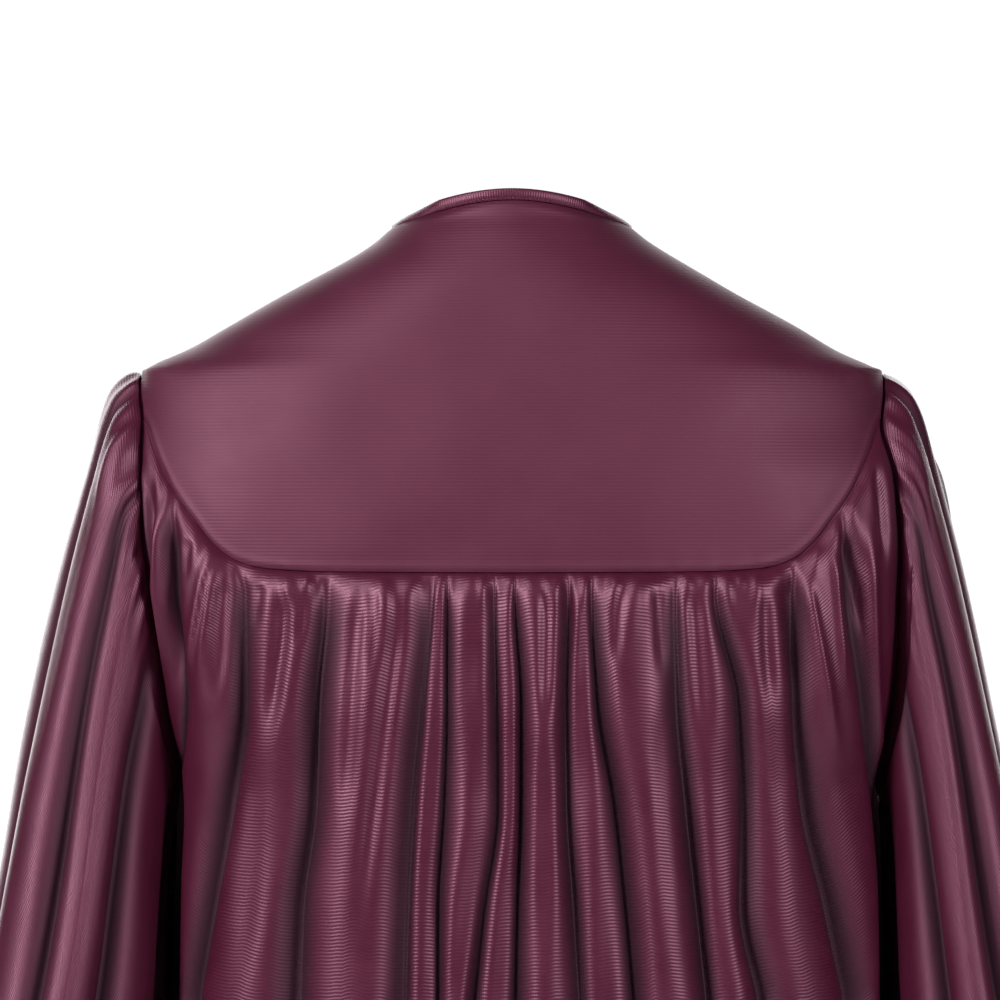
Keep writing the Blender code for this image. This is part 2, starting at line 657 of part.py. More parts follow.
def sleeve(side):
    """Grid of one sleeve, round it from the outer line and down from the armhole to the cuff."""
    along = np.array(SLEEVE_ROWS)[:, None]
    sizes = {}
    for name in SLEEVE_COLUMNS:
        sizes[name] = curve(column(SLEEVE_SECTIONS, SLEEVE_COLUMNS, "along"),
                            column(SLEEVE_SECTIONS, SLEEVE_COLUMNS, name), along)
    count = len(SLEEVE_FOLDS)
    places = np.arange(count * SLEEVE_POINTS_PER_FOLD) / SLEEVE_POINTS_PER_FOLD
    top_turn = fold_turns("top_turn", places)
    low_turn = fold_turns("low_turn", places)
    turn = top_turn + (low_turn - top_turn) * np.clip(along / SLEEVE_TURN_SHARE, 0, 1)
    shift = side * section("centre_x", sizes["inner_drop"])
    inner_x = section("half_width", sizes["inner_drop"]) + shift + sizes["inner_clear"]
    middle_x = (sizes["outer_x"] + inner_x) / 2
    middle_drop = (sizes["outer_drop"] + sizes["inner_drop"]) / 2
    half = np.stack([(sizes["outer_x"] - inner_x) / 2, (sizes["outer_drop"] - sizes["inner_drop"]) / 2])
    reach = (np.abs(np.cos(turn)) ** SLEEVE_SQUARENESS + np.abs(np.sin(turn)) ** SLEEVE_SQUARENESS)
    reach = reach ** (-1 / SLEEVE_SQUARENESS)
    heights = sleeve_heights(places, along)
    grow = 1 + heights / sizes["half_depth"]
    x = middle_x + half[0] * reach * np.cos(turn)
    drop = middle_drop + half[1] * reach * np.cos(turn)
    y = sizes["centre_y"] + sizes["half_depth"] * reach * np.sin(turn)
    inner_front = np.clip(-np.sin(turn), 0, 1) * np.clip(-np.cos(turn), 0, 1) * 2
    x = x - INWARD_HANG * inner_front * np.clip(along / HANG_SHARE, 0, 1)
    rim_drop = ARMHOLE_DROP - ARMHOLE_HALF_HEIGHT * np.cos(top_turn)
    rim_y = ARMHOLE_HALF_DEPTH * np.sin(top_turn)
    rim_x = section("half_width", rim_drop) + side * section("centre_x", rim_drop) + 2 * SEAM_GAP
    fade = np.clip(1 - along / RIM_FADE_SHARE, 0, 1) ** 2
    x = x + (rim_x - x[0]) * fade
    drop = drop + (rim_drop - drop[0]) * fade
    y = y + (rim_y - y[0]) * fade
    outward = sleeve_outward(x, y, drop)
    points = np.stack([x, y, -drop], axis=-1) + outward * heights[..., None]
    front_clear = FRONT_CLEAR * np.clip(along / FRONT_CLEAR_SHARE, 0, 1)
    limit = beside_body(points[..., 1], -points[..., 2], side, front_clear)
    limit = limit + 3 * SEAM_GAP + SLEEVE_CLEAR * np.clip(along / SLEEVE_CLEAR_SHARE, 0, 1)
    beside = points[..., 2] < -SLEEVE_CLEAR_FROM
    points[..., 0] = np.where(beside, np.maximum(points[..., 0], limit), points[..., 0])
    points[..., 0] *= side
    return points[:, ::-1] if side > 0 else points


def beside_body(y, drop, side, front_clear):
    """How far across the body lies at a depth: its widest place behind, its front's surface before.

    The front's surface has room for its folds, which are none at the armhole's rim.
    """
    width, depth, square = body_axes(drop, False)
    share = np.clip(1 - np.clip(-y / depth, 0, 1) ** square, 0, 1)
    before = width * share ** (1 / square) + front_clear * np.clip(-y / FRONT_CLEAR_Y, 0, 1)
    return np.where(y < 0, before, section("half_width", drop)) + side * section("centre_x", drop)


def sleeve_outward(x, y, drop):
    """Unit vectors out of the sleeve, from its grid."""
    grid = np.stack([x, y, -drop], axis=-1)
    around = np.roll(grid, -1, axis=1) - np.roll(grid, 1, axis=1)
    down = np.gradient(grid, axis=0)
    out = np.cross(around, down)
    out = out / np.linalg.norm(out, axis=-1, keepdims=True)
    middle = grid.mean(axis=1, keepdims=True)
    return out * np.where(np.sum(out * (grid - middle), axis=-1, keepdims=True) < 0, -1.0, 1.0)


def fold_turns(name, places):
    """Turns round the sleeve, in radians, at places counted in folds."""
    turns = column(SLEEVE_FOLDS, SLEEVE_FOLD_COLUMNS, name)
    known = np.concatenate([turns, [turns[0] + 360]])
    return np.radians(np.interp(places, np.arange(len(known)), known))


def sleeve_heights(places, along):
    """Height of the sleeve's folds: none at the armhole's rim, quickly growing below it."""
    under = 1 - np.exp(-along / CAP_SHARE)
    further = np.clip((along - SLEEVE_FURTHER_START) / SLEEVE_FURTHER_LENGTH, 0, 1)
    top = column(SLEEVE_FOLDS, SLEEVE_FOLD_COLUMNS, "top_height")
    low = column(SLEEVE_FOLDS, SLEEVE_FOLD_COLUMNS, "low_height")
    return fold_heights(places, (top + (low - top) * further) * under)


def finish(name, colour, roughness, metallic=0.0):
    """A plain surface with its colour, roughness and metallic value."""
    material = bpy.data.materials.new(name)
    material.use_nodes = True
    shader = material.node_tree.nodes["Principled BSDF"]
    shader.inputs["Base Color"].default_value = (*colour, 1.0)
    shader.inputs["Roughness"].default_value = roughness
    shader.inputs["Metallic"].default_value = metallic
    return material


def front_centre(drop):
    """The point of the front's surface in the middle plane."""
    return body(front_turn(0.0, drop, 1), drop)


def chain_rows():
    """Rings of the zip's chain, down the middle of the front between the cloth's edges."""
    drop = np.linspace(CHAIN_TOP_DROP, ZIP_END_DROP - CHAIN_SHORT, CHAIN_RINGS)
    path = front_centre(drop)
    across = np.array([-1, 1, 1, -1]) * CHAIN_HALF_WIDTH
    out = np.array([CHAIN_FRONT, CHAIN_FRONT, CHAIN_BACK, CHAIN_BACK])
    shift = np.stack([across, -out, np.zeros(4)], axis=-1)
    return path[:, None] * np.array([0.0, 1.0, 1.0]) + shift


def slider_frame():
    """The slider's place on the cloth, its lean about the X axis, and its up and outward directions."""
    above = front_centre(SLIDER_DROP - SLIDER_SPAN)
    below = front_centre(SLIDER_DROP + SLIDER_SPAN)
    up = (above - below) * np.array([0.0, 1.0, 1.0])
    up = up / np.linalg.norm(up)
    place = front_centre(SLIDER_DROP) * np.array([0.0, 1.0, 1.0])
    return place, math.atan2(-up[1], up[2]), up, np.array([0.0, -up[2], up[1]])


def add_block(name, width, inner, outer, low, high):
    """A box on the slider, given by its width, its two faces out from the cloth and its two ends."""
    place, lean, up, out = slider_frame()
    centre = place + out * (inner + outer) / 2 + up * (low + high) / 2
    bpy.ops.mesh.primitive_cube_add(size=1, location=centre, rotation=(lean, 0, 0))
    block = bpy.context.object
    block.name = name
    block.data.transform(Matrix.Diagonal((width, outer - inner, high - low, 1.0)))
    return block


def hide_cutter(cutter):
    """Keep a helper block out of the finished model."""
    cutter.hide_render = True
    cutter.display_type = "WIRE"
    for holder in list(cutter.users_collection):
        holder.objects.unlink(cutter)
    bpy.data.collections["cutters"].objects.link(cutter)


def combine(target, other, operation):
    """Join another block to the target, or cut it away."""
    change = target.modifiers.new(other.name, "BOOLEAN")
    change.operation = operation
    change.object = other
    hide_cutter(other)


def add_slider(metal):
    """The slider's two plates, post and bridge, as one piece."""
    blocks = [add_block(*row) for row in SLIDER_PIECES]
    combine(blocks[-1], add_block(*BRIDGE_HOLE), "DIFFERENCE")
    for block in blocks[1:]:
        combine(blocks[0], block, "UNION")
    blocks[0].data.materials.append(metal)
    move_to_robe(blocks[0])


def rounded_outline(half_width, low, high, radius):
    """Points of a rectangle with round corners."""
    quarter = np.radians(np.linspace(0, 90, 5))
    points = []
    corners = ((half_width, high), (-half_width, high), (-half_width, low), (half_width, low))
    for turn, (x, y) in enumerate(corners):
        angle = quarter + turn * math.pi / 2
        middle_x = x - math.copysign(radius, x)
        middle_y = (high if turn < 2 else low) - (radius if turn < 2 else -radius)
        points.extend(zip(middle_x + radius * np.cos(angle), middle_y + radius * np.sin(angle)))
    return points


def add_tab(metal):
    """The pull tab: a flat plate with a window, hung by its top bar, with its origin on the pivot."""
    place, lean, up, out = slider_frame()
    shape = bpy.data.curves.new("zip_pull_tab", "CURVE")
    shape.dimensions = "2D"
    shape.fill_mode = "BOTH"
    shape.extrude = TAB_THICKNESS / 2
    outline = rounded_outline(TAB_HALF_WIDTH, TAB_LOW, TAB_TOP, TAB_ROUNDING)
    window = rounded_outline(WINDOW_HALF_WIDTH, WINDOW_LOW, WINDOW_TOP, WINDOW_ROUNDING)
    for points in (outline, window):
        spline = shape.splines.new("POLY")
        spline.points.add(len(points) - 1)
        spline.use_cyclic_u = True
        for point, (x, y) in zip(spline.points, points):
            point.co = (x, y, 0.0, 1.0)
    shape.materials.append(metal)
    tab = bpy.data.objects.new("zip_pull_tab", shape)
    tab.location = place + out * PIVOT_OUT + up * PIVOT_UP
    tab.rotation_euler = (math.pi / 2 + lean, 0, 0)
    bpy.data.collections["choir robe"].objects.link(tab)


def move_to_robe(piece):
    """Put a piece in the robe's collection only."""
    for holder in list(piece.users_collection):
        holder.objects.unlink(piece)
    bpy.data.collections["choir robe"].objects.link(piece)


def main():
    """Clear the file's objects and build every piece of the robe."""
    for old in list(bpy.data.objects):
        bpy.data.objects.remove(old, do_unlink=True)
    for name in ("choir robe", "cutters"):
        bpy.context.scene.collection.children.link(bpy.data.collections.new(name))
    add_sheet("back_yoke", back_yoke(), finish("yoke tricot", YOKE_MAROON, 0.5))
    add_sheet("back_panel", back_panel(), finish("back tricot", MAROON, 0.35))
    for side, word in ((1, "left"), (-1, "right")):
        add_sheet("front_yoke_" + word, front_yoke(side), finish("yoke tricot " + word, YOKE_MAROON, 0.5))
        add_sheet("front_" + word, front_panel(side), finish("front tricot " + word, MAROON, 0.35))
        add_sheet("sleeve_" + word, sleeve(side), finish("sleeve tricot " + word, MAROON, 0.35), closed=True)
    add_tube("neck_binding", binding_rows(), finish("binding tricot", YOKE_MAROON, 0.45))
    add_tube("zip_chain", chain_rows(), finish("zip coil", CHAIN_MAROON, 0.45))
    add_slider(finish("zip slider", METAL_MAROON, 0.35, 1.0))
    add_tab(finish("pull tab", METAL_MAROON, 0.30, 1.0))


main()
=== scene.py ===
"""Choir robe as worn: a smooth yoke, gathered back and fronts, bell sleeves, a neck binding and a zip.

Everything is in metres, +Z up, with the front towards -Y and the wearer's left towards +X. The
origin lies midway between the two side neck points, and a height is given as a drop below it.
Each cloth piece is a grid of points worked out from the body's rounded sections, with its folds
as heights along the body's level outward direction.
"""
from __future__ import annotations

import json
import logging
import math
from dataclasses import dataclass, field
from enum import Enum
from typing import Any

import bmesh
import bpy
import numpy as np
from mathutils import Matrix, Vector

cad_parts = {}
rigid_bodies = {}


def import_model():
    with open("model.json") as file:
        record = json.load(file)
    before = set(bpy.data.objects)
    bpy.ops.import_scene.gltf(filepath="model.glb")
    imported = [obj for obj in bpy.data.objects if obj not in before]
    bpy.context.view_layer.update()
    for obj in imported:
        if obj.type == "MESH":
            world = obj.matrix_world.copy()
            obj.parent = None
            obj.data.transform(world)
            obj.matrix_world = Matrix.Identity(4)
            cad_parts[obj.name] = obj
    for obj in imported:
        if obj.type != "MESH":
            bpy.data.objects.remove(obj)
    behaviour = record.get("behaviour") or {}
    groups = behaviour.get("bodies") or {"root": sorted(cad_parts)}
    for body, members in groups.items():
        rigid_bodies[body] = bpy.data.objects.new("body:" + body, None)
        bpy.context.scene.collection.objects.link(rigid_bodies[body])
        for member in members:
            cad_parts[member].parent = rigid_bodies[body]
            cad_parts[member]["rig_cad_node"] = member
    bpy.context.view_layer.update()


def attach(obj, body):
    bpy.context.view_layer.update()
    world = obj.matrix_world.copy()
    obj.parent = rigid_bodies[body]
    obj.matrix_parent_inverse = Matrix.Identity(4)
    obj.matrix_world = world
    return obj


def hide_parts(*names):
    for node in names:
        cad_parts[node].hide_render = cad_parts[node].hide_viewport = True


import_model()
LOG = logging.getLogger("choir_robe")

Grid = np.ndarray

# Lengths that every piece shares
CLOTH = 0.0012
SEAM_GAP = 0.0004
HEM_DROP = 1.300
HEM_DEPTH = 0.020
ZIP_HALF_OPENING = 0.0033
SLOPE_STEP = 1e-4

# How deep an edge tucks under the piece it is sewn to, and over what length it comes out again
TUCK = 0.0006
TUCK_LENGTH = 0.0009

# Folds: how quickly they rise under a seam, where they change from their top to their low height as
# shares of the panel, and how sharp their troughs are
UNDER_SEAM = 0.010
FURTHER_START = 0.01
FURTHER_LENGTH = 0.08
CREASE_SHARPNESS = 6

# The shade between folds: where it starts and over what share of a half fold it comes in, and its
# depth below the seam
SHADE_START = 0.50
SHADE_LENGTH = 0.45
SHADE_BELOW = 0.04

# Slow unevenness comes in over this length below a seam
BROAD_FADE = 0.03

# Ranges of the body's puckers under the yoke seams: their length, width and height
PUCKERS = ((0.016, 0.055), (0.0022, 0.0038), (0.0012, 0.0034))

# The hem's stitched line, the roll below it and how wide both are
HEM_DENT = 0.0006
HEM_DENT_WIDTH = 0.0022
HEM_ROLL_WIDTH = 0.006

# Rows that a gathered piece has close to its seam and round its hem's stitches, in metres from there
ROWS_BELOW_SEAM = (0.0006, 0.0012, 0.0018, 0.0026, 0.0036)
ROWS_ABOVE_HEM = (0.0245, 0.0225, 0.0212, 0.0200, 0.0188, 0.0175, 0.0145, 0.010, 0.005)

# The body's sections. Squareness 2 is an ellipse, and more is squarer.
SECTION_COLUMNS = ("drop", "half_width", "back_depth", "front_depth", "squareness", "centre_x")
SECTIONS = (
    (-0.0200, 0.0700, 0.0575, 0.0590, 2.00, 0.000),
    (0.0000, 0.0715, 0.0585, 0.0600, 2.00, 0.000),
    (0.0134, 0.0840, 0.0665, 0.0665, 2.05, 0.000),
    (0.0446, 0.1350, 0.0830, 0.0790, 2.20, 0.000),
    (0.0733, 0.1860, 0.0925, 0.0880, 2.30, 0.000),
    (0.0886, 0.2120, 0.0965, 0.0920, 2.35, 0.000),
    (0.0985, 0.2335, 0.0990, 0.0945, 2.40, 0.000),
    (0.1020, 0.2400, 0.1000, 0.0955, 2.40, 0.000),
    (0.1130, 0.2395, 0.1030, 0.0990, 2.45, 0.000),
    (0.1360, 0.2365, 0.1080, 0.1060, 2.50, 0.000),
    (0.1700, 0.2400, 0.1135, 0.1140, 2.60, -0.004),
    (0.2040, 0.2405, 0.1170, 0.1205, 2.60, -0.006),
    (0.2360, 0.2380, 0.1180, 0.1250, 2.60, -0.008),
    (0.3120, 0.2310, 0.1170, 0.1285, 2.60, -0.011),
    (0.3650, 0.2210, 0.1155, 0.1290, 2.60, -0.011),
    (0.4000, 0.2190, 0.1155, 0.1290, 2.60, -0.011),
    (0.5000, 0.2195, 0.1180, 0.1310, 2.60, -0.011),
    (0.7000, 0.2400, 0.1400, 0.1520, 2.50, -0.006),
    (1.0000, 0.2900, 0.1780, 0.1950, 2.40, -0.002),
    (1.3000, 0.3450, 0.2150, 0.2350, 2.30, 0.000),
)

# Yoke seams: how far down the seam lies at each distance from the centre
SEAM_COLUMNS = ("across", "drop")
BACK_SEAM = (
    (0.0000, 0.2305),
    (0.1200, 0.2298),
    (0.1500, 0.2284),
    (0.1650, 0.2262),
    (0.1750, 0.2225),
    (0.1850, 0.2160),
    (0.1990, 0.2000),
    (0.2125, 0.1820),
    (0.2200, 0.1690),
    (0.2290, 0.1490),
    (0.2345, 0.1330),
)
FRONT_SEAM = (
    (0.0000, 0.1900),
    (0.1000, 0.1890),
    (0.1500, 0.1860),
    (0.1900, 0.1780),
    (0.2125, 0.1650),
    (0.2290, 0.1480),
    (0.2345, 0.1330),
)

# Troughs between the back panel's folds, from the wearer's left to right. The first place is at the
# yoke seam, the next five are at FOLD_DROPS, all across from the centre.
FOLD_DROPS = (0.2423, 0.3124, 0.3761, 0.4399, 0.4973)
FOLD_PLACES = ("p1", "p2", "p3", "p4", "p5")
BACK_TROUGH_COLUMNS = ("seam",) + FOLD_PLACES
BACK_TROUGHS = (
    (0.2129, 0.2123, 0.2034, 0.2053, 0.2066, 0.2078),
    (0.1715, 0.1677, 0.1670, 0.1747, 0.1849, 0.1951),
    (0.1167, 0.1160, 0.1218, 0.1237, 0.1320, 0.1340),
    (0.0485, 0.0491, 0.0555, 0.0612, 0.0644, 0.0663),
    (0.0408, 0.0408, 0.0408, 0.0427, 0.0459, 0.0459),
    (0.0108, 0.0108, 0.0096, 0.0083, 0.0172, 0.0242),
    (-0.0013, -0.0013, -0.0051, -0.0051, -0.0032, -0.0019),
    (-0.0357, -0.0357, -0.0338, -0.0344, -0.0389, -0.0427),
    (-0.0491, -0.0491, -0.0529, -0.0638, -0.0708, -0.0759),
    (-0.1020, -0.1020, -0.1033, -0.1090, -0.1160, -0.1218),
    (-0.1262, -0.1262, -0.1415, -0.1441, -0.1428, -0.1543),
    (-0.1760, -0.1760, -0.1760, -0.1810, -0.1964, -0.2085),
    (-0.2078, -0.2091, -0.2180, -0.2231, -0.2270, -0.2301),
)

# The folds between those troughs and the panel's two edges: how high they stand near the seam and
# further down
FOLD_HEIGHT_COLUMNS = ("top_height", "low_height")
BACK_FOLDS = (
    (0.005, 0.004),
    (0.007, 0.010),
    (0.008, 0.011),
    (0.009, 0.013),
    (0.003, 0.004),
    (0.007, 0.008),
    (0.003, 0.005),
    (0.008, 0.010),
    (0.004, 0.005),
    (0.008, 0.012),
    (0.006, 0.007),
    (0.008, 0.010),
    (0.008, 0.011),
    (0.006, 0.004),
)

# Inner creases of the back's folds, which run out before the hem: across at their top and end, their
# drops, half their width and their height, which is below nothing in a crease and above it on a ridge
SHORT_FOLDS = (
    (0.2335, 0.2362, 0.158, 0.240, 0.0025, 0.0030),
    (0.2262, 0.2318, 0.164, 0.330, 0.0040, -0.0070),
    (0.2180, 0.2255, 0.182, 0.330, 0.0045, 0.0065),
    (0.2125, 0.2085, 0.192, 0.330, 0.0045, -0.0060),
    (0.2010, 0.2030, 0.208, 0.240, 0.0030, -0.0030),
    (0.1887, 0.2010, 0.218, 0.310, 0.0024, 0.0036),
    (0.1830, 0.1915, 0.224, 0.300, 0.0026, 0.0036),
    (0.1790, 0.1800, 0.228, 0.320, 0.0040, -0.0034),
    (0.1556, 0.1600, 0.236, 0.270, 0.0030, -0.0025),
    (0.1383, 0.1492, 0.236, 0.345, 0.0050, -0.0040),
    (0.1256, 0.1320, 0.236, 0.280, 0.0030, -0.0020),
    (0.1520, 0.1632, 0.345, 0.500, 0.0060, -0.0018),
    (0.0950, 0.1014, 0.233, 0.395, 0.0045, -0.0034),
    (0.0842, 0.0861, 0.236, 0.300, 0.0030, -0.0020),
    (0.0689, 0.0956, 0.239, 0.472, 0.0045, -0.0036),
    (0.0210, 0.0210, 0.300, 0.400, 0.0060, -0.0012),
    (-0.0217, -0.0200, 0.235, 0.330, 0.0040, -0.0035),
    (-0.0200, -0.0204, 0.330, 0.480, 0.0050, -0.0010),
    (-0.0669, -0.0640, 0.236, 0.290, 0.0030, -0.0018),
    (-0.0899, -0.0940, 0.236, 0.300, 0.0035, -0.0030),
    (-0.0893, -0.0963, 0.312, 0.475, 0.0060, -0.0014),
    (-0.1109, -0.1198, 0.236, 0.345, 0.0050, -0.0025),
    (-0.1549, -0.1587, 0.240, 0.320, 0.0040, -0.0024),
    (-0.1700, -0.1760, 0.232, 0.310, 0.0045, -0.0044),
    (-0.1805, -0.1985, 0.228, 0.350, 0.0032, 0.0042),
    (-0.1990, -0.2040, 0.215, 0.310, 0.0026, 0.0036),
    (-0.2080, -0.2190, 0.204, 0.275, 0.0032, -0.0055),
    (-0.2215, -0.2280, 0.190, 0.440, 0.0042, 0.0065),
    (-0.2290, -0.2330, 0.160, 0.230, 0.0030, -0.0045),
)

# How far the folds may stand out of the sides, where the sleeves hang beside them
ROOM_COLUMNS = ("drop", "room")
SIDE_ROOM = (
    (0.100, 0.000),
    (0.365, 0.000),
    (0.430, 0.003),
    (0.700, 0.006),
    (0.800, 0.030),
    (1.300, 0.040),
)

# Troughs between one front's folds, from the side to the centre, as a share of the way across
FRONT_TROUGH_COLUMNS = ("top_place", "low_place")
FRONT_TROUGHS = (
    (0.10, 0.12),
    (0.22, 0.22),
    (0.32, 0.35),
    (0.45, 0.45),
    (0.55, 0.57),
    (0.67, 0.67),
    (0.78, 0.80),
    (0.89, 0.90),
)

# The folds between those troughs and the front's two edges
FRONT_FOLDS = (
    (0.005, 0.009),
    (0.004, 0.006),
    (0.006, 0.011),
    (0.004, 0.006),
    (0.006, 0.011),
    (0.004, 0.006),
    (0.005, 0.010),
    (0.004, 0.007),
    (0.005, 0.009),
)

# Sleeves. The outer line runs from the shoulder tip to the cuff, and the inner line from the
# underarm to the cuff, clear of the body's side by the given distance.
SLEEVE_COLUMNS = ("along", "outer_x", "outer_drop", "inner_drop", "inner_clear", "half_depth", "centre_y")
SLEEVE_SECTIONS = (
    (0.00, 0.2405, 0.1020, 0.3650, 0.0010, 0.0660, 0.000),
    (0.04, 0.2560, 0.1190, 0.3740, 0.0050, 0.0720, 0.000),
    (0.12, 0.2680, 0.1600, 0.3900, 0.0110, 0.0790, -0.002),
    (0.25, 0.2850, 0.2300, 0.4200, 0.0150, 0.0860, -0.004),
    (0.45, 0.3060, 0.3350, 0.4800, 0.0170, 0.0980, -0.008),
    (0.65, 0.3270, 0.4500, 0.5500, 0.0180, 0.1150, -0.012),
    (0.85, 0.3520, 0.5800, 0.6350, 0.0230, 0.1350, -0.016),
    (1.00, 0.3720, 0.6950, 0.7050, 0.0280, 0.1500, -0.018),
)

# Folds of a sleeve, round it from the outer line by way of the back. A turn is where the fold
# starts, in degrees, and it ends where the next one starts.
SLEEVE_FOLD_COLUMNS = ("top_turn", "low_turn", "top_height", "low_height")
SLEEVE_FOLDS = (
    (22, 26, 0.006, 0.012),
    (66, 70, 0.006, 0.013),
    (110, 108, 0.005, 0.010),
    (156, 150, 0.002, 0.004),
    (200, 204, 0.005, 0.010),
    (246, 250, 0.006, 0.012),
    (290, 294, 0.005, 0.012),
    (334, 336, 0.006, 0.011),
)


class Slot(Enum):
    """The record's material slots."""

    YOKE = "yoke_cloth"
    BODY = "body_cloth"
    SLEEVE = "sleeve_cloth"
    BINDING = "binding_cloth"
    COIL = "zip_coil"
    METAL = "zip_metal"


class Side(Enum):
    """The wearer's two sides, with the sign of their X."""

    LEFT = 1
    RIGHT = -1

    @property
    def word(self) -> str:
        """The side's name in a piece's name."""
        return self.name.lower()


def column(rows: tuple, names: tuple[str, ...], name: str) -> Grid:
    """One named column of a table, as an array."""
    return np.array([row[names.index(name)] for row in rows], dtype=float)


def smooth(value: Grid) -> Grid:
    """A soft step from 0 to 1: 3 v squared less 2 v cubed, for v held between 0 and 1."""
    value = np.clip(value, 0.0, 1.0)
    return value**2 * (3 - 2 * value)


def unit(vectors: Grid) -> Grid:
    """The vectors along the last axis, each divided by its length."""
    return vectors / np.maximum(np.linalg.norm(vectors, axis=-1, keepdims=True), 1e-12)


def curve(places: Any, values: Any, at: Any) -> Grid:
    """A smooth curve through a table's points, which never swings past them.

    Between two points it is the cubic with the harmonic mean of the neighbouring slopes at each.

    Args:
        places: Where the table's points lie, rising.
        values: The table's values there.
        at: Where the curve is wanted, in an array of any shape.

    Returns:
        The curve's values, in the shape of at.
    """
    places = np.asarray(places, dtype=float)
    values = np.asarray(values, dtype=float)
    step = np.diff(places)
    rate = np.diff(values) / step
    slope = np.zeros(len(places))
    both = rate[:-1] + rate[1:]
    same = rate[:-1] * rate[1:] > 0
    slope[1:-1] = np.where(same, 2 * rate[:-1] * rate[1:] / np.where(same, both, 1.0), 0.0)
    slope[0] = rate[0]
    slope[-1] = rate[-1]
    at = np.asarray(at, dtype=float)
    i = np.clip(np.searchsorted(places, at, side="right") - 1, 0, len(step) - 1)
    t = np.clip((at - places[i]) / step[i], 0.0, 1.0)
    start = values[i] * (2 * t**3 - 3 * t**2 + 1) + slope[i] * step[i] * (t**3 - 2 * t**2 + t)
    end = values[i + 1] * (3 * t**2 - 2 * t**3) + slope[i + 1] * step[i] * (t**3 - t**2)
    return start + end


def waver(u: Grid, v: Grid, seed: int, waves: int = 6) -> Grid:
    """Slow unevenness between about -1 and 1: a sum of sines of u and v with seeded rates and phases.

    Args:
        u: The first parameter, where 1 is about one wave.
        v: The second parameter, where 1 is about one wave.
        seed: Chooses the rates and phases.
        waves: How many sines are added.

    Returns:
        The sum, in the joint shape of u and v.
    """
    draw = np.random.default_rng(seed)
    rate_u = draw.uniform(0.5, 1.5, waves) * draw.choice((-1, 1), waves)
    rate_v = draw.uniform(0.3, 1.2, waves)
    phase = draw.uniform(0, 2 * math.pi, waves)
    u, v = np.broadcast_arrays(u, v)
    angle = 2 * math.pi * (u[..., None] * rate_u + v[..., None] * rate_v) + phase
    return np.sin(angle).sum(axis=-1) / math.sqrt(waves)


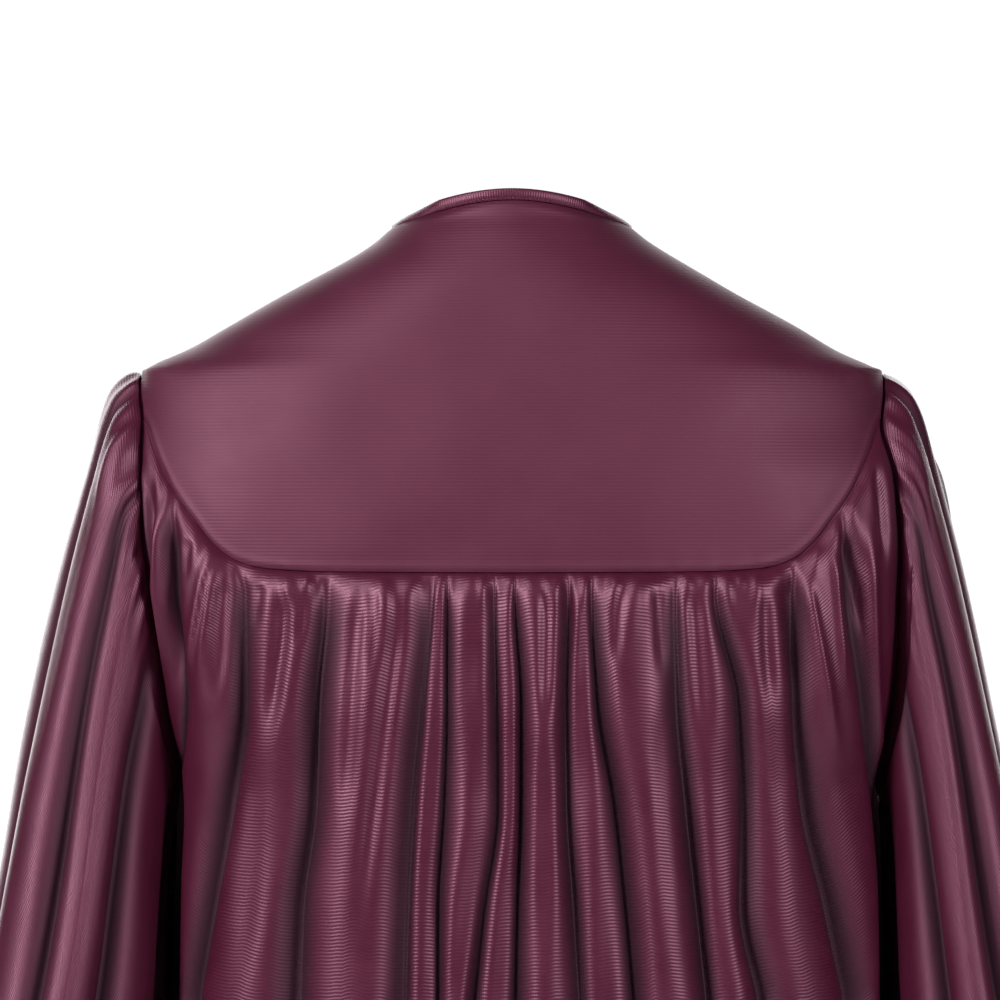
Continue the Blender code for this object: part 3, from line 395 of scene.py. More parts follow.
@dataclass(frozen=True)
class Body:
    """The worn robe's rounded sections, which every panel lies on.

    Turn counts from the centre back, towards the wearer's left, in radians.
    """

    armhole_drop: float = 0.2335
    armhole_half_height: float = 0.1315
    armhole_half_depth: float = 0.0660
    junction_drop: float = 0.1330
    shoulder_seam_y: float = -0.0120
    neck_side_drop: float = 0.0088
    neck_back_rise: float = 0.0150
    neck_back_power: float = 1.5
    neck_front_drop: float = 0.1310
    neck_front_power: float = 2.3
    yoke_seam_gap: float = 0.0007
    front_clear: float = 0.024
    front_clear_y: float = 0.045
    front_clear_share: float = 0.08
    allowance_rise: tuple[float, ...] = (0.0042, 0.0024, 0.0008)
    allowance_depth: tuple[float, ...] = (0.0022, 0.0018, 0.0009)

    def section(self, name: str, drop: Any) -> Grid:
        """A named size of the body's section at a drop."""
        places = column(SECTIONS, SECTION_COLUMNS, "drop")
        return curve(places, column(SECTIONS, SECTION_COLUMNS, name), drop)

    def armhole_depth(self, drop: Any) -> Grid:
        """Half the armhole's depth from front to back at a drop: an ellipse, 0 beyond its ends."""
        level = (np.asarray(drop) - self.armhole_drop) / self.armhole_half_height
        return self.armhole_half_depth * np.sqrt(np.clip(1 - level**2, 0.0, 1.0))

    def axes(self, drop: Any, at_back: Any) -> tuple[Grid, Grid, Grid]:
        """Half width, depth and squareness, widened so that the section meets the armhole's edge."""
        depth = np.where(at_back, self.section("back_depth", drop), self.section("front_depth", drop))
        square = self.section("squareness", drop)
        share = 1 - (self.armhole_depth(drop) / depth) ** square
        return self.section("half_width", drop) / share ** (1 / square), depth, square

    def point(self, turn: Any, drop: Any) -> Grid:
        """Points on the body.

        The reach at a turn makes the sum of |x / width| and |y / depth|, each to the power of the
        squareness, equal 1.

        Args:
            turn: Radians from the centre back.
            drop: Metres below the origin.

        Returns:
            Points as x, y and z in the last axis.
        """
        turn, drop = np.broadcast_arrays(np.asarray(turn, dtype=float), np.asarray(drop, dtype=float))
        width, depth, square = self.axes(drop, np.cos(turn) >= 0)
        reach = (np.abs(np.sin(turn)) / width) ** square + (np.abs(np.cos(turn)) / depth) ** square
        reach = reach ** (-1 / square)
        across = self.section("centre_x", drop) + reach * np.sin(turn)
        return np.stack([across, reach * np.cos(turn), -drop], axis=-1)

    def outward(self, turn: Grid, drop: Grid) -> Grid:
        """Level unit vectors that point straight out of the body."""
        along = self.point(turn + SLOPE_STEP, drop) - self.point(turn - SLOPE_STEP, drop)
        return unit(np.stack([-along[..., 1], along[..., 0], np.zeros_like(along[..., 0])], axis=-1))

    def turn_at(self, across: Any, drop: Any, at_back: bool) -> Grid:
        """The turn at which the body's surface is this far across from the middle plane."""
        width, depth, square = self.axes(drop, at_back)
        offset = np.asarray(across) - self.section("centre_x", drop)
        share = np.clip(np.abs(offset) / width, 0.0, 1.0)
        y = depth * (1 - share**square) ** (1 / square)
        return np.arctan2(offset, y if at_back else -y)

    def front_turn(self, across: Any, drop: Any, side: int) -> Grid:
        """The turn of a place on the front, counted from the back by way of its own side."""
        turn = self.turn_at(across, drop, False)
        return np.where(turn * side < 0, turn + side * 2 * math.pi, turn)

    def edge_turn(self, drop: Grid, at_back: bool, side: int) -> Grid:
        """The turn of a panel's side edge: the armhole's rim, and below it the side seam."""
        y = np.maximum(self.armhole_depth(drop), SEAM_GAP / 2)
        return side * np.arctan2(self.section("half_width", drop), y if at_back else -y)

    def rim_x(self, side: int) -> float:
        """How far across the armhole's rim lies where yoke, panel and sleeve meet."""
        drop = self.junction_drop
        return float(side * self.section("half_width", drop) + self.section("centre_x", drop))

    def neck_drop(self, turn: Any) -> Grid:
        """The drop of the yokes' neck edge: a round rise at the back and a V at the front."""
        turn = np.abs(turn)
        rise = self.neck_back_rise * np.clip(np.cos(turn), 0, 1) ** self.neck_back_power
        front = np.clip((turn - math.pi / 2) / (math.pi / 2), 0, 1) ** self.neck_front_power
        return self.neck_side_drop - rise + self.neck_front_drop * front

    def seam_drop(self, seam: tuple, across: Any) -> Grid:
        """How far down a yoke seam lies at a distance from the middle plane."""
        places = column(seam, SEAM_COLUMNS, "across")
        return curve(places, column(seam, SEAM_COLUMNS, "drop"), np.abs(across))

    def panel_top(self, seam: tuple, across: Grid) -> Grid:
        """The drop of a panel's top edge, which keeps the seam gap square to the yoke's seam."""
        away = np.abs(across)
        rise = self.seam_drop(seam, away + SLOPE_STEP) - self.seam_drop(seam, away - SLOPE_STEP)
        gap = self.yoke_seam_gap * np.sqrt(1 + (rise / (2 * SLOPE_STEP)) ** 2)
        return self.seam_drop(seam, across) + gap

    def armhole_line(self, start_y: float, end_y: float, count: int) -> tuple[Grid, Grid]:
        """Turn and drop along the top of the armhole's rim, from one depth to another, on the left."""
        ends = [math.asin(y / self.armhole_half_depth) for y in (start_y, end_y)]
        lean = np.linspace(ends[0], ends[1], count)
        drop = self.armhole_drop - self.armhole_half_height * np.cos(lean)
        return np.arctan2(self.section("half_width", drop), self.armhole_half_depth * np.sin(lean)), drop

    def beside(self, y: Grid, drop: Grid, side: int, along: Grid) -> Grid:
        """How far across the body lies at a depth: its widest place behind, the front's surface before it.

        The surface is the width times (1 less the depth's share to the power of the squareness), to
        the power of one over the squareness, with room for the front's folds below the armhole's rim.
        """
        width, depth, square = self.axes(drop, False)
        share = np.clip(1 - np.clip(-y / depth, 0, 1) ** square, 0, 1)
        room = self.front_clear * np.clip(along / self.front_clear_share, 0, 1)
        before = width * share ** (1 / square) + room * np.clip(-y / self.front_clear_y, 0, 1)
        across = np.where(y < 0, before, self.section("half_width", drop))
        return across + side * self.section("centre_x", drop)

    def beside_sleeves(self, points: Grid) -> Grid:
        """Panel points kept on the body's side of the armholes, and clear of the sleeves below."""
        drop = -points[..., 2]
        places = column(SIDE_ROOM, ROOM_COLUMNS, "drop")
        room = curve(places, column(SIDE_ROOM, ROOM_COLUMNS, "room"), drop)
        reach = self.section("half_width", drop) + room
        middle = self.section("centre_x", drop)
        points[..., 0] = np.clip(points[..., 0], middle - reach, middle + reach)
        return points

    def with_allowance(self, points: Grid) -> Grid:
        """A panel's rows with its seam allowance added, which turns up behind the yoke.

        The added rows stand the allowance's steps above the first row and inside it.
        """
        inward = -unit(points[0] * np.array([1.0, 1.0, 0.0]))
        rise = np.array(self.allowance_rise)[:, None, None] * np.array([0.0, 0.0, 1.0])
        depth = np.array(self.allowance_depth)[:, None, None]
        return np.concatenate([points[0] + rise + inward * depth, points])


@dataclass(frozen=True)
class Gathers:
    """Small puckers that a gathering thread leaves beside a seam.

    Each is a ridge whose height falls away as a bell curve across it, rises quickly from the seam
    and fades out at its own length.
    """

    count: int
    reach: tuple[float, float]
    width: tuple[float, float]
    height: tuple[float, float]
    seed: int
    rise: float = 0.0035
    drift: float = 0.10

    def heights(self, across: Grid, below: Grid, span: tuple[float, float]) -> Grid:
        """Height of the puckers at each point.

        Args:
            across: Metres along the seam, one value for each column.
            below: Metres from the seam, one value for each point.
            span: Where along the seam the puckers lie.

        Returns:
            Heights in metres, in the shape of below.
        """
        draw = np.random.default_rng(self.seed)
        even = (np.arange(self.count) + 0.5 + draw.uniform(-0.35, 0.35, self.count)) / self.count
        place = span[0] + (span[1] - span[0]) * even
        reach = draw.uniform(*self.reach, self.count)
        width = draw.uniform(*self.width, self.count)
        height = draw.uniform(*self.height, self.count)
        drift = draw.uniform(-self.drift, self.drift, self.count)
        total = np.zeros(np.broadcast(across, below).shape)
        for x, r, w, h, d in zip(place, reach, width, height, drift):
            grow = (1 - np.exp(-below / self.rise)) * (1 - smooth(below / r))
            offset = (across - x - d * below) / (w * (1 + below / r))
            total = total + h * grow * np.exp(-offset**2)
        return total


def node(tree: bpy.types.NodeTree, kind: str, inputs: dict | None = None, **settings: Any) -> Any:
    """Add one node with its settings, values and links.

    Args:
        tree: The node tree that gets it.
        kind: Blender's name of the node.
        inputs: For a socket's name or number, a value or the socket that feeds it.
        settings: Properties of the node.

    Returns:
        The node.
    """
    made = tree.nodes.new(kind)
    for name, value in settings.items():
        setattr(made, name, value)
    for key, value in (inputs or {}).items():
        if isinstance(value, bpy.types.NodeSocket):
            tree.links.new(value, made.inputs[key])
        else:
            made.inputs[key].default_value = value
    return made


def linear(colour: str) -> tuple[float, float, float, float]:
    """An sRGB hex colour as linear red, green, blue and alpha."""
    parts = np.array([int(colour[i:i + 2], 16) for i in (1, 3, 5)]) / 255
    parts = np.where(parts <= 0.04045, parts / 12.92, ((parts + 0.055) / 1.055) ** 2.4)
    return (*(float(part) for part in parts), 1.0)


def math_node(tree: bpy.types.NodeTree, operation: str, *values: Any) -> Any:
    """The output of a Math node."""
    return node(tree, "ShaderNodeMath", dict(enumerate(values)), operation=operation).outputs[0]


def new_finish(name: str) -> tuple[bpy.types.Material, bpy.types.NodeTree, Any]:
    """A new node material, its tree and its Principled BSDF."""
    made = bpy.data.materials.new(name)
    made.use_nodes = True
    return made, made.node_tree, made.node_tree.nodes["Principled BSDF"]


def noise(tree: bpy.types.NodeTree, place: Any, size_mm: float, **more: float) -> Any:
    """The value of a noise whose features are this many millimetres across."""
    sockets = {"Vector": place, "Scale": 1000 / size_mm, **more}
    return node(tree, "ShaderNodeTexNoise", sockets).outputs["Fac"]


def blend(tree: bpy.types.NodeTree, share: Any, low: Any, high: Any) -> Any:
    """A colour between two others."""
    return node(tree, "ShaderNodeMix", {"Factor": share, 6: low, 7: high},
                data_type="RGBA", clamp_factor=True).outputs[2]


@dataclass(frozen=True)
class RibbedTricot:
    """Shiny polyester warp knit with fine ribs across it.

    The eye sees a wine-dark ground, rib lines that break up each highlight, and a soft pink gloss
    along every crest. The ribs are drawn 2.2 mm apart, an eighth coarser than the photograph's, which
    are 1.95 mm apart at the robe's scale.
    """

    name: str
    ground: str = "#2e0616"
    # Lighter colour for random mottled tone and for painted light on the rib tops, against painted shade in
    # the rib grooves
    mottle_and_rib_top_light: str = "#3e0f23"
    # Painted shade: the near-black that the colour is blended to deep between the folds
    deep: str = "#12010a"
    gloss: tuple[float, float, float, float] = (1.0, 0.50, 0.68, 1.0)
    gloss_level: float = 0.48
    index: float = 1.54
    roughness: float = 0.41
    mottle_roughness: float = 0.16
    # Roughness added along the painted shade, which dulls the gloss between the folds as well
    painted_shade_roughness: float = 0.28
    rib_mm: float = 2.2
    rib_height_mm: float = 0.085
    rib_waver_mm: float = 0.35
    rib_waver_size_mm: float = 14.0
    # Share of the colour that follows the ribs: painted shade in the grooves and painted light on the tops
    rib_painted_shade: float = 0.30
    mottle_colour: float = 0.75
    mottle_mm: float = 45.0
    grain_mm: float = 0.9

    def material(self) -> bpy.types.Material:
        """The node material. The piece's UV map is in metres, with V down the cloth.

        Painted shade between the folds: a mesh attribute, 0 on the folds and 1 deep between them, blends
        the colour towards the deep colour and roughens it.
        """
        made, tree, shader = new_finish(self.name)
        place = node(tree, "ShaderNodeTexCoord").outputs["UV"]
        down = node(tree, "ShaderNodeSeparateXYZ", {0: place}).outputs["Y"]
        slow = noise(tree, place, self.rib_waver_size_mm, Detail=2.0)
        mottle = noise(tree, place, self.mottle_mm, Detail=3.0, Roughness=0.6)
        grain = noise(tree, place, self.grain_mm, Detail=2.0)
        painted_shade = node(tree, "ShaderNodeAttribute", attribute_name="painted_shade", attribute_type="GEOMETRY")
        painted_shade = painted_shade.outputs["Fac"]
        shift = math_node(tree, "MULTIPLY_ADD", slow, self.rib_waver_mm / 1000, down)
        angle = math_node(tree, "MULTIPLY", shift, 2 * math.pi * 1000 / self.rib_mm)
        rib = math_node(tree, "MULTIPLY_ADD", math_node(tree, "SINE", angle), 0.5, 0.5)
        uneven = math_node(tree, "MULTIPLY_ADD", grain, 0.5, rib)
        mottled = math_node(tree, "MULTIPLY", mottle, self.mottle_colour)
        # Painted shade in the rib grooves and painted light on the rib tops, plus random mottled tone
        mix = math_node(tree, "MULTIPLY_ADD", rib, self.rib_painted_shade, mottled)
        ground = blend(tree, mix, linear(self.ground), linear(self.mottle_and_rib_top_light))
        bump = node(tree, "ShaderNodeBump",
                    {"Height": uneven, "Strength": 1.0, "Distance": self.rib_height_mm / 1000})
        least = self.roughness - self.mottle_roughness / 2
        rough = math_node(tree, "MULTIPLY_ADD", mottle, self.mottle_roughness, least)
        # Painted shade between the folds: darker and duller where the attribute is high
        rough = math_node(tree, "MULTIPLY_ADD", painted_shade, self.painted_shade_roughness, rough)
        tree.links.new(blend(tree, painted_shade, ground, linear(self.deep)), shader.inputs["Base Color"])
        tree.links.new(rough, shader.inputs["Roughness"])
        tree.links.new(bump.outputs["Normal"], shader.inputs["Normal"])
        shader.inputs["Specular Tint"].default_value = self.gloss
        shader.inputs["Specular IOR Level"].default_value = self.gloss_level
        shader.inputs["IOR"].default_value = self.index
        return made


def fix_normals(mesh: bpy.types.Mesh) -> None:
    """Turn every face of a closed mesh outwards."""
    work = bmesh.new()
    work.from_mesh(mesh)
    bmesh.ops.recalc_face_normals(work, faces=work.faces)
    work.to_mesh(mesh)
    work.free()


def grid_faces(rows: int, cols: int, closed: bool) -> Grid:
    """The quads of a grid of points, each as four point numbers."""
    i, j = np.meshgrid(np.arange(rows - 1), np.arange(cols if closed else cols - 1), indexing="ij")
    right = (j + 1) % cols
    quads = np.stack([i * cols + j, i * cols + right, (i + 1) * cols + right, (i + 1) * cols + j], axis=-1)
    return quads.reshape(-1, 4)


def grid_corners(uv: Grid) -> Grid:
    """The UV values at each quad's four corners. A closed grid's UV has one column more."""
    return np.stack([uv[:-1, :-1], uv[:-1, 1:], uv[1:, 1:], uv[1:, :-1]], axis=-2).reshape(-1)


def add_mesh(name: str, points: Grid, faces: list, finish: bpy.types.Material,
             corners: Grid | None = None, outwards: bool = True, smoothed: bool = True) -> Any:
    """Add an object made of points and faces.

    Args:
        name: The object's name.
        points: Points, with x, y, z in the last axis.
        faces: Lists of point numbers.
        finish: The material.
        corners: UV values at each face's corners in order, or None.
        outwards: Whether the mesh is closed, so that its faces are turned outwards.
        smoothed: Whether it is shaded smooth.

    Returns:
        The object.
    """
    mesh = bpy.data.meshes.new(name)
    mesh.from_pydata(points.reshape(-1, 3).tolist(), [], faces)
    if corners is not None:
        mesh.uv_layers.new(name="cloth").data.foreach_set("uv", corners.astype(np.float32))
    if outwards:
        fix_normals(mesh)
    if smoothed:
        mesh.shade_smooth()
    mesh.materials.append(finish)
    piece = bpy.data.objects.new(name, mesh)
    bpy.context.scene.collection.objects.link(piece)
    return piece


def add_bars(name: str, rings: Grid, finish: bpy.types.Material, corners: Grid | None = None,
             smoothed: bool = True) -> Any:
    """Add one joined mesh of closed bars with flat ends.

    Args:
        name: The object's name.
        rings: Bars, rings along each bar, points round each ring, and x, y, z.
        finish: The material.
        corners: UV values at each corner of the bars' sides and ends, or None.
        smoothed: Whether it is shaded smooth.

    Returns:
        The object.
    """
    count, steps, sides = rings.shape[:3]
    base = (np.arange(count) * steps * sides)[:, None, None]
    quads = (base + grid_faces(steps, sides, True)).reshape(-1, 4)
    ends = np.stack([np.arange(sides)[::-1], np.arange(sides) + (steps - 1) * sides])
    caps = (base + ends).reshape(-1, sides)
    return add_mesh(name, rings, quads.tolist() + caps.tolist(), finish, corners, smoothed=smoothed)


def cloth_object(name: str, points: Grid, uv: Grid, finish: bpy.types.Material, closed: bool = False,
                 painted_shade: Grid | None = None) -> Any:
    """A thin cloth wall on a grid of outer points, whose columns run to the left seen from outside.

    Args:
        name: The piece's name.
        points: Rows, columns and x, y, z.
        uv: Rows, columns and two values in metres. A closed grid has one column more.
        finish: The material.
        closed: Whether the last column meets the first.
        painted_shade: How deep each point of the last rows lies between folds, from 0 to 1, or None.

    Returns:
        The object, with a Solidify wall.
    """
    rows, cols = points.shape[:2]
    faces = grid_faces(rows, cols, closed).tolist()
    piece = add_mesh(name, points, faces, finish, grid_corners(uv), outwards=False)
    # The painted shade between the folds, stored on the mesh for the material to darken by
    depth = np.zeros((rows, cols))
    if painted_shade is not None:
        depth[rows - len(painted_shade):] = painted_shade
    values = piece.data.attributes.new("painted_shade", "FLOAT", "POINT").data
    values.foreach_set("value", depth.ravel().astype(np.float32))
    wall = piece.modifiers.new("wall", "SOLIDIFY")
    wall.thickness = CLOTH
    wall.offset = -1
    return piece


def cloth_uv(points: Grid, closed: bool = False) -> Grid:
    """Metres across and down a grid of points: mean lengths across, and each column's own length down."""
    loop = np.concatenate([points, points[:, :1]], axis=1) if closed else points
    across = np.linalg.norm(np.diff(loop, axis=1), axis=-1).mean(axis=0)
    down = np.linalg.norm(np.diff(loop, axis=0), axis=-1)
    u = np.concatenate([[0.0], np.cumsum(across)])
    v = np.concatenate([np.zeros((1, loop.shape[1])), np.cumsum(down, axis=0)])
    return np.stack(np.broadcast_arrays(u, v), axis=-1)


def grid_normals(points: Grid, closed: bool = False) -> Grid:
    """Unit vectors out of a grid whose columns run to the left seen from outside."""
    if closed:
        across = np.roll(points, -1, axis=1) - np.roll(points, 1, axis=1)
    else:
        across = np.gradient(points, axis=1)
    return unit(np.cross(np.gradient(points, axis=0), across))


def fold_heights(places: Grid, crest: Grid, roundness: float = 2.4, crease: float = 0.40) -> Grid:
    """Height of the folds over the surface.

    A fold is a dome: its crest height times 1 less the distance from its middle in half folds, to
    the power of the roundness. The trough beside it is creased further in, by a share of the crest
    height times that distance to the power of the sharpness.

    Args:
        places: Folds counted across, whole in a trough, one value for each column.
        crest: Crest heights, one row for each row of the grid and one column for each fold.
        roundness: 2 for a round dome, and more for a flatter one with steeper sides.
        crease: How far the trough is creased in, as a share of the crest height.

    Returns:
        Heights in metres.
    """
    fold = np.clip(np.floor(places).astype(int), 0, crest.shape[-1] - 1)
    away = np.abs(2 * (places - fold) - 1)
    return crest[:, fold] * (1 - away**roundness - crease * away**CREASE_SHARPNESS)


def shade(places: Grid, rows: int, below: Grid) -> Grid:
    """How little light reaches each point: 0 on the folds and up to 1 deep between them.

    It is a soft step over the outer part of each half fold, and it comes in below the seam.
    """
    away = np.abs(2 * (places - np.floor(places)) - 1)
    between = np.broadcast_to(smooth((away - SHADE_START) / SHADE_LENGTH), (rows, len(places)))
    return between * smooth(below / SHADE_BELOW)


def crest_heights(folds: tuple, share: Grid, below: Grid) -> Grid:
    """Crest height of each fold at each row of a panel.

    It starts at nothing at the seam, nears the top height within the first few centimetres, and
    then eases to the low height, which itself grows towards the hem.

    Args:
        folds: The panel's table of folds.
        share: Rows as shares of the way from the seam to the hem.
        below: Metres below the seam at each row.

    Returns:
        Heights in metres, rows by folds.
    """
    top = column(folds, FOLD_HEIGHT_COLUMNS, "top_height")
    low = column(folds, FOLD_HEIGHT_COLUMNS, "low_height") * (1 + share[:, None])
    further = smooth((share - FURTHER_START) / FURTHER_LENGTH)[:, None]
    return (top * (1 - further) + low * further) * (1 - np.exp(-below / UNDER_SEAM))[:, None]


def panel_heights(folds: tuple, places: Grid, share: Grid, below: Grid, swell: float,
                  puckers: Grid, broad: Grid) -> Grid:
    """The heights that the back and the fronts make alike.

    The folds stand on a swell that rises under the seam. Swell, puckers and unevenness are nothing
    at the panel's two side edges. The seam's edge is tucked in and the hem has its stitched line.

    Args:
        folds: The panel's table of folds.
        places: Folds counted across, one value for each column.
        share: Rows as shares of the way from the seam to the hem.
        below: Metres below the seam at each point.
        swell: The swell's height.
        puckers: Heights of the gathers' puckers.
        broad: Heights of the slow unevenness.

    Returns:
        Heights in metres.
    """
    inside = np.clip(np.minimum(places, len(folds) - places), None, 1.0)
    height = fold_heights(places, crest_heights(folds, share, below.mean(axis=1)))
    height = height + swell * (1 - np.exp(-below / UNDER_SEAM)) * inside
    height = height + (puckers + broad * smooth(below / BROAD_FADE)) * inside
    return height + hem_dent(below[-1:] - below) - TUCK * np.exp(-below / TUCK_LENGTH)


def sample(values: Grid, reach: Grid, at: Grid) -> Grid:
    """A line's points or vectors, read between its points at some distances along it."""
    return np.stack([np.interp(at, reach, values[:, k]) for k in range(3)], axis=-1)


@dataclass
class Stitches:
    """A row of sewing stitches: short flat threads that dip into the cloth at both ends."""

    name: str
    body: str = "robe"
    pitch: float = 0.0032
    length: float = 0.0024
    half_width: float = 0.00022
    half_height: float = 0.00022
    sides: int = 5

    def build(self, lines: list[tuple[Grid, Grid]], finish: bpy.types.Material, slot: Slot) -> Any:
        """One joined mesh of the stitches along some lines.

        Each stitch is a bar along the line's direction, with its rings shrunk at both ends. A ring
        is an ellipse of half_width across and half_height out of the cloth.

        Args:
            lines: Pairs of points along a line and the cloth's outward unit vectors there.
            finish: The thread's material.
            slot: The record's slot; not used.

        Returns:
            The piece.
        """
        place = np.array([-0.5, -0.3, 0.0, 0.3, 0.5]) * self.length
        swell = np.array([0.25, 0.85, 1.0, 0.85, 0.25])
        turn = np.arange(self.sides) * 2 * math.pi / self.sides
        bars = []
        for points, normals in lines:
            reach = np.concatenate([[0.0], np.cumsum(np.linalg.norm(np.diff(points, axis=0), axis=1))])
            middle = np.arange(self.pitch, reach[-1] - self.pitch / 2, self.pitch)
            at = sample(points, reach, middle)
            out = unit(sample(normals, reach, middle))
            along = unit(sample(points, reach, middle + SLOPE_STEP) - at)
            across = unit(np.cross(along, out))
            ring = (across[:, None, None] * (np.cos(turn) * self.half_width)[:, None]
                    + out[:, None, None] * (np.sin(turn) * self.half_height)[:, None])
            bar = (at[:, None, None] + along[:, None, None] * place[:, None, None]
                   + ring * swell[:, None, None] + out[:, None, None] * (0.3 * self.half_height))
            bars.append(bar)
        rings = np.concatenate(bars)
        piece = add_bars(self.name, rings, finish)
        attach(piece, self.body)
        LOG.info("%s: %d stitches", self.name, len(rings))
        return piece


@dataclass(frozen=True)
class Cut:
    """How a cloth piece was cut before it was sewn: its size, its flat area and how it is held."""

    width: float
    length: float
    area: float
    held: str
    rests_on: tuple[str, ...]


def dress(piece: Any, replaced: str) -> None:
    """Tie a cloth piece to the frame and hide the solid that it replaces."""
    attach(piece, "robe")
    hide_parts(replaced)
    LOG.info("%s: %d points", piece.name, len(piece.data.vertices))


def row_shares(count: int, power: float, length: float) -> Grid:
    """Rows as shares of a piece's length, closer together near the seam and round the hem's stitches.

    Args:
        count: How many rows lie along the whole length.
        power: 1 for even rows, and more for rows closer together near the seam.
        length: The piece's length in metres.

    Returns:
        The shares, rising from 0 to 1.
    """
    rows = np.linspace(0.0, 1.0, count) ** power
    hem = 1 - np.array(ROWS_ABOVE_HEM) / length
    start = np.array(ROWS_BELOW_SEAM) / length
    return np.unique(np.concatenate([rows, hem, start]))


def hem_dent(to_hem: Grid) -> Grid:
    """The shallow line that the hem's stitches pull into the cloth, and the soft roll below it."""
    line = np.exp(-((to_hem - HEM_DEPTH) / HEM_DENT_WIDTH) ** 2)
    roll = np.exp(-((to_hem - HEM_DEPTH / 2) / HEM_ROLL_WIDTH) ** 2)
    return HEM_DENT * (roll - line)


@dataclass
class BackPanel:
    """The back below the yoke: one wide piece gathered into the curved seam."""

    body: Body
    points_per_fold: int = 21
    row_count: int = 140
    row_power: float = 1.6
    length: float = 1.07
    least_turn: float = 0.012
    straight_above: float = 0.020
    seam_share: float = 0.05
    swell: float = 0.004
    broad_height: float = 0.0006
    broad_seed: int = 6
    gathers: Gathers = Gathers(58, *PUCKERS, 11)
    cut: Cut = Cut(1.30, 1.10, 1.16, "gathered", ("back_yoke",))

    def seam_places(self) -> Grid:
        """Where the troughs and the panel's two edges meet the yoke seam, across the body."""
        troughs = column(BACK_TROUGHS, BACK_TROUGH_COLUMNS, "seam")
        return np.concatenate([[self.body.rim_x(1)], troughs, [self.body.rim_x(-1)]])

    def turns(self, places: Grid, drop: Grid, top_x: Grid, top_drop: Grid, share: Grid) -> Grid:
        """The turn of each point, from trough lines that pass through the table's places."""
        level = np.clip(drop, None, FOLD_DROPS[-1])
        seams = column(BACK_TROUGHS, BACK_TROUGH_COLUMNS, "seam")
        below = np.stack([column(BACK_TROUGHS, BACK_TROUGH_COLUMNS, name) for name in FOLD_PLACES], axis=-1)
        first = np.clip(np.floor(places).astype(int), 0, len(seams))
        part = places - first
        columns = np.arange(len(places))
        lines = [self.body.edge_turn(drop, True, 1)]
        for seam, across in zip(seams, below):
            start = self.body.seam_drop(BACK_SEAM, seam)
            known = np.concatenate([[start - self.straight_above, start], FOLD_DROPS])
            line = curve(known, np.concatenate([[seam, seam], across]), drop)
            lines.append(self.body.turn_at(line, level, True))
        lines.append(self.body.edge_turn(drop, True, -1))
        middle = len(lines) // 2
        for i in range(1, middle):
            lines[i] = np.minimum(lines[i], lines[i - 1] - self.least_turn)
            lines[-1 - i] = np.maximum(lines[-1 - i], lines[-i] + self.least_turn)
        lines = np.stack(lines)
        turn = lines[first, :, columns].T * (1 - part) + lines[first + 1, :, columns].T * part
        wanted = self.body.turn_at(top_x, top_drop, True)
        return turn + (wanted - turn[0]) * np.clip(1 - share / self.seam_share, 0, 1)[:, None] ** 2

    def short_folds(self, across: Grid, drop: Grid) -> Grid:
        """Height of the folds that run out: a bell curve across each, faded at both ends."""
        total = np.zeros(drop.shape)
        for top_x, end_x, top_drop, end_drop, half_width, height in SHORT_FOLDS:
            part = (drop - top_drop) / (end_drop - top_drop)
            fade = smooth(part * 5) * smooth((1 - part) * 2.5)
            middle = top_x + (end_x - top_x) * np.clip(part, 0, 1)
            total = total + height * fade * np.exp(-((across - middle) / half_width) ** 2)
        return total

    def points(self) -> tuple[Grid, Grid]:
        """The grid, from the seam to the hem and from the wearer's left to right, turned about.

        Returns:
            The points, and the painted shade: how deep each lies between the folds.
        """
        body = self.body
        share = row_shares(self.row_count, self.row_power, self.length)
        count = len(BACK_FOLDS)
        places = np.linspace(0, count, count * self.points_per_fold + 1)
        top_x = np.interp(places, np.arange(count + 1), self.seam_places())
        top_drop = body.panel_top(BACK_SEAM, top_x)
        drop = top_drop + (HEM_DROP - top_drop) * share[:, None]
        turn = self.turns(places, drop, top_x, top_drop, share)
        below = drop - top_drop
        puckers = self.gathers.heights(top_x, below, (top_x[-1], top_x[0]))
        broad = waver(places * 1.1, below * 5.0, self.broad_seed) * self.broad_height
        height = panel_heights(BACK_FOLDS, places, share, below, self.swell, puckers, broad)
        base = body.point(turn, drop)
        inside = smooth(np.minimum(places, count - places) * 4)
        height = height + self.short_folds(base[..., 0], drop) * inside
        base = base + height[..., None] * body.outward(turn, drop)
        # Painted shade between the folds, for the material
        painted_shade = shade(places, len(share), below)
        return body.with_allowance(body.beside_sleeves(base))[:, ::-1], painted_shade[:, ::-1]

    def build(self, finish: bpy.types.Material, thread: bpy.types.Material) -> None:
        """The panel and its hem stitches."""
        points, painted_shade = self.points()
        piece = cloth_object("back_panel_cloth", points, cloth_uv(points), finish, painted_shade=painted_shade)
        dress(piece, "back_panel")
        hem_stitches("back_hem_stitches", points, thread, Slot.BODY)


def hem_stitches(name: str, points: Grid, thread: bpy.types.Material, slot: Slot,
                 closed: bool = False) -> None:
    """A row of stitches at the hem's depth above the last row of a grid."""
    below = np.linalg.norm(points - points[-1:], axis=-1).mean(axis=1)
    row = int(np.argmin(np.abs(below - HEM_DEPTH)))
    normals = grid_normals(points, closed)
    line, out = points[row], normals[row]
    if closed:
        line, out = np.concatenate([line, line[:1]]), np.concatenate([out, out[:1]])
    Stitches(name).build([(line, out)], thread, slot)


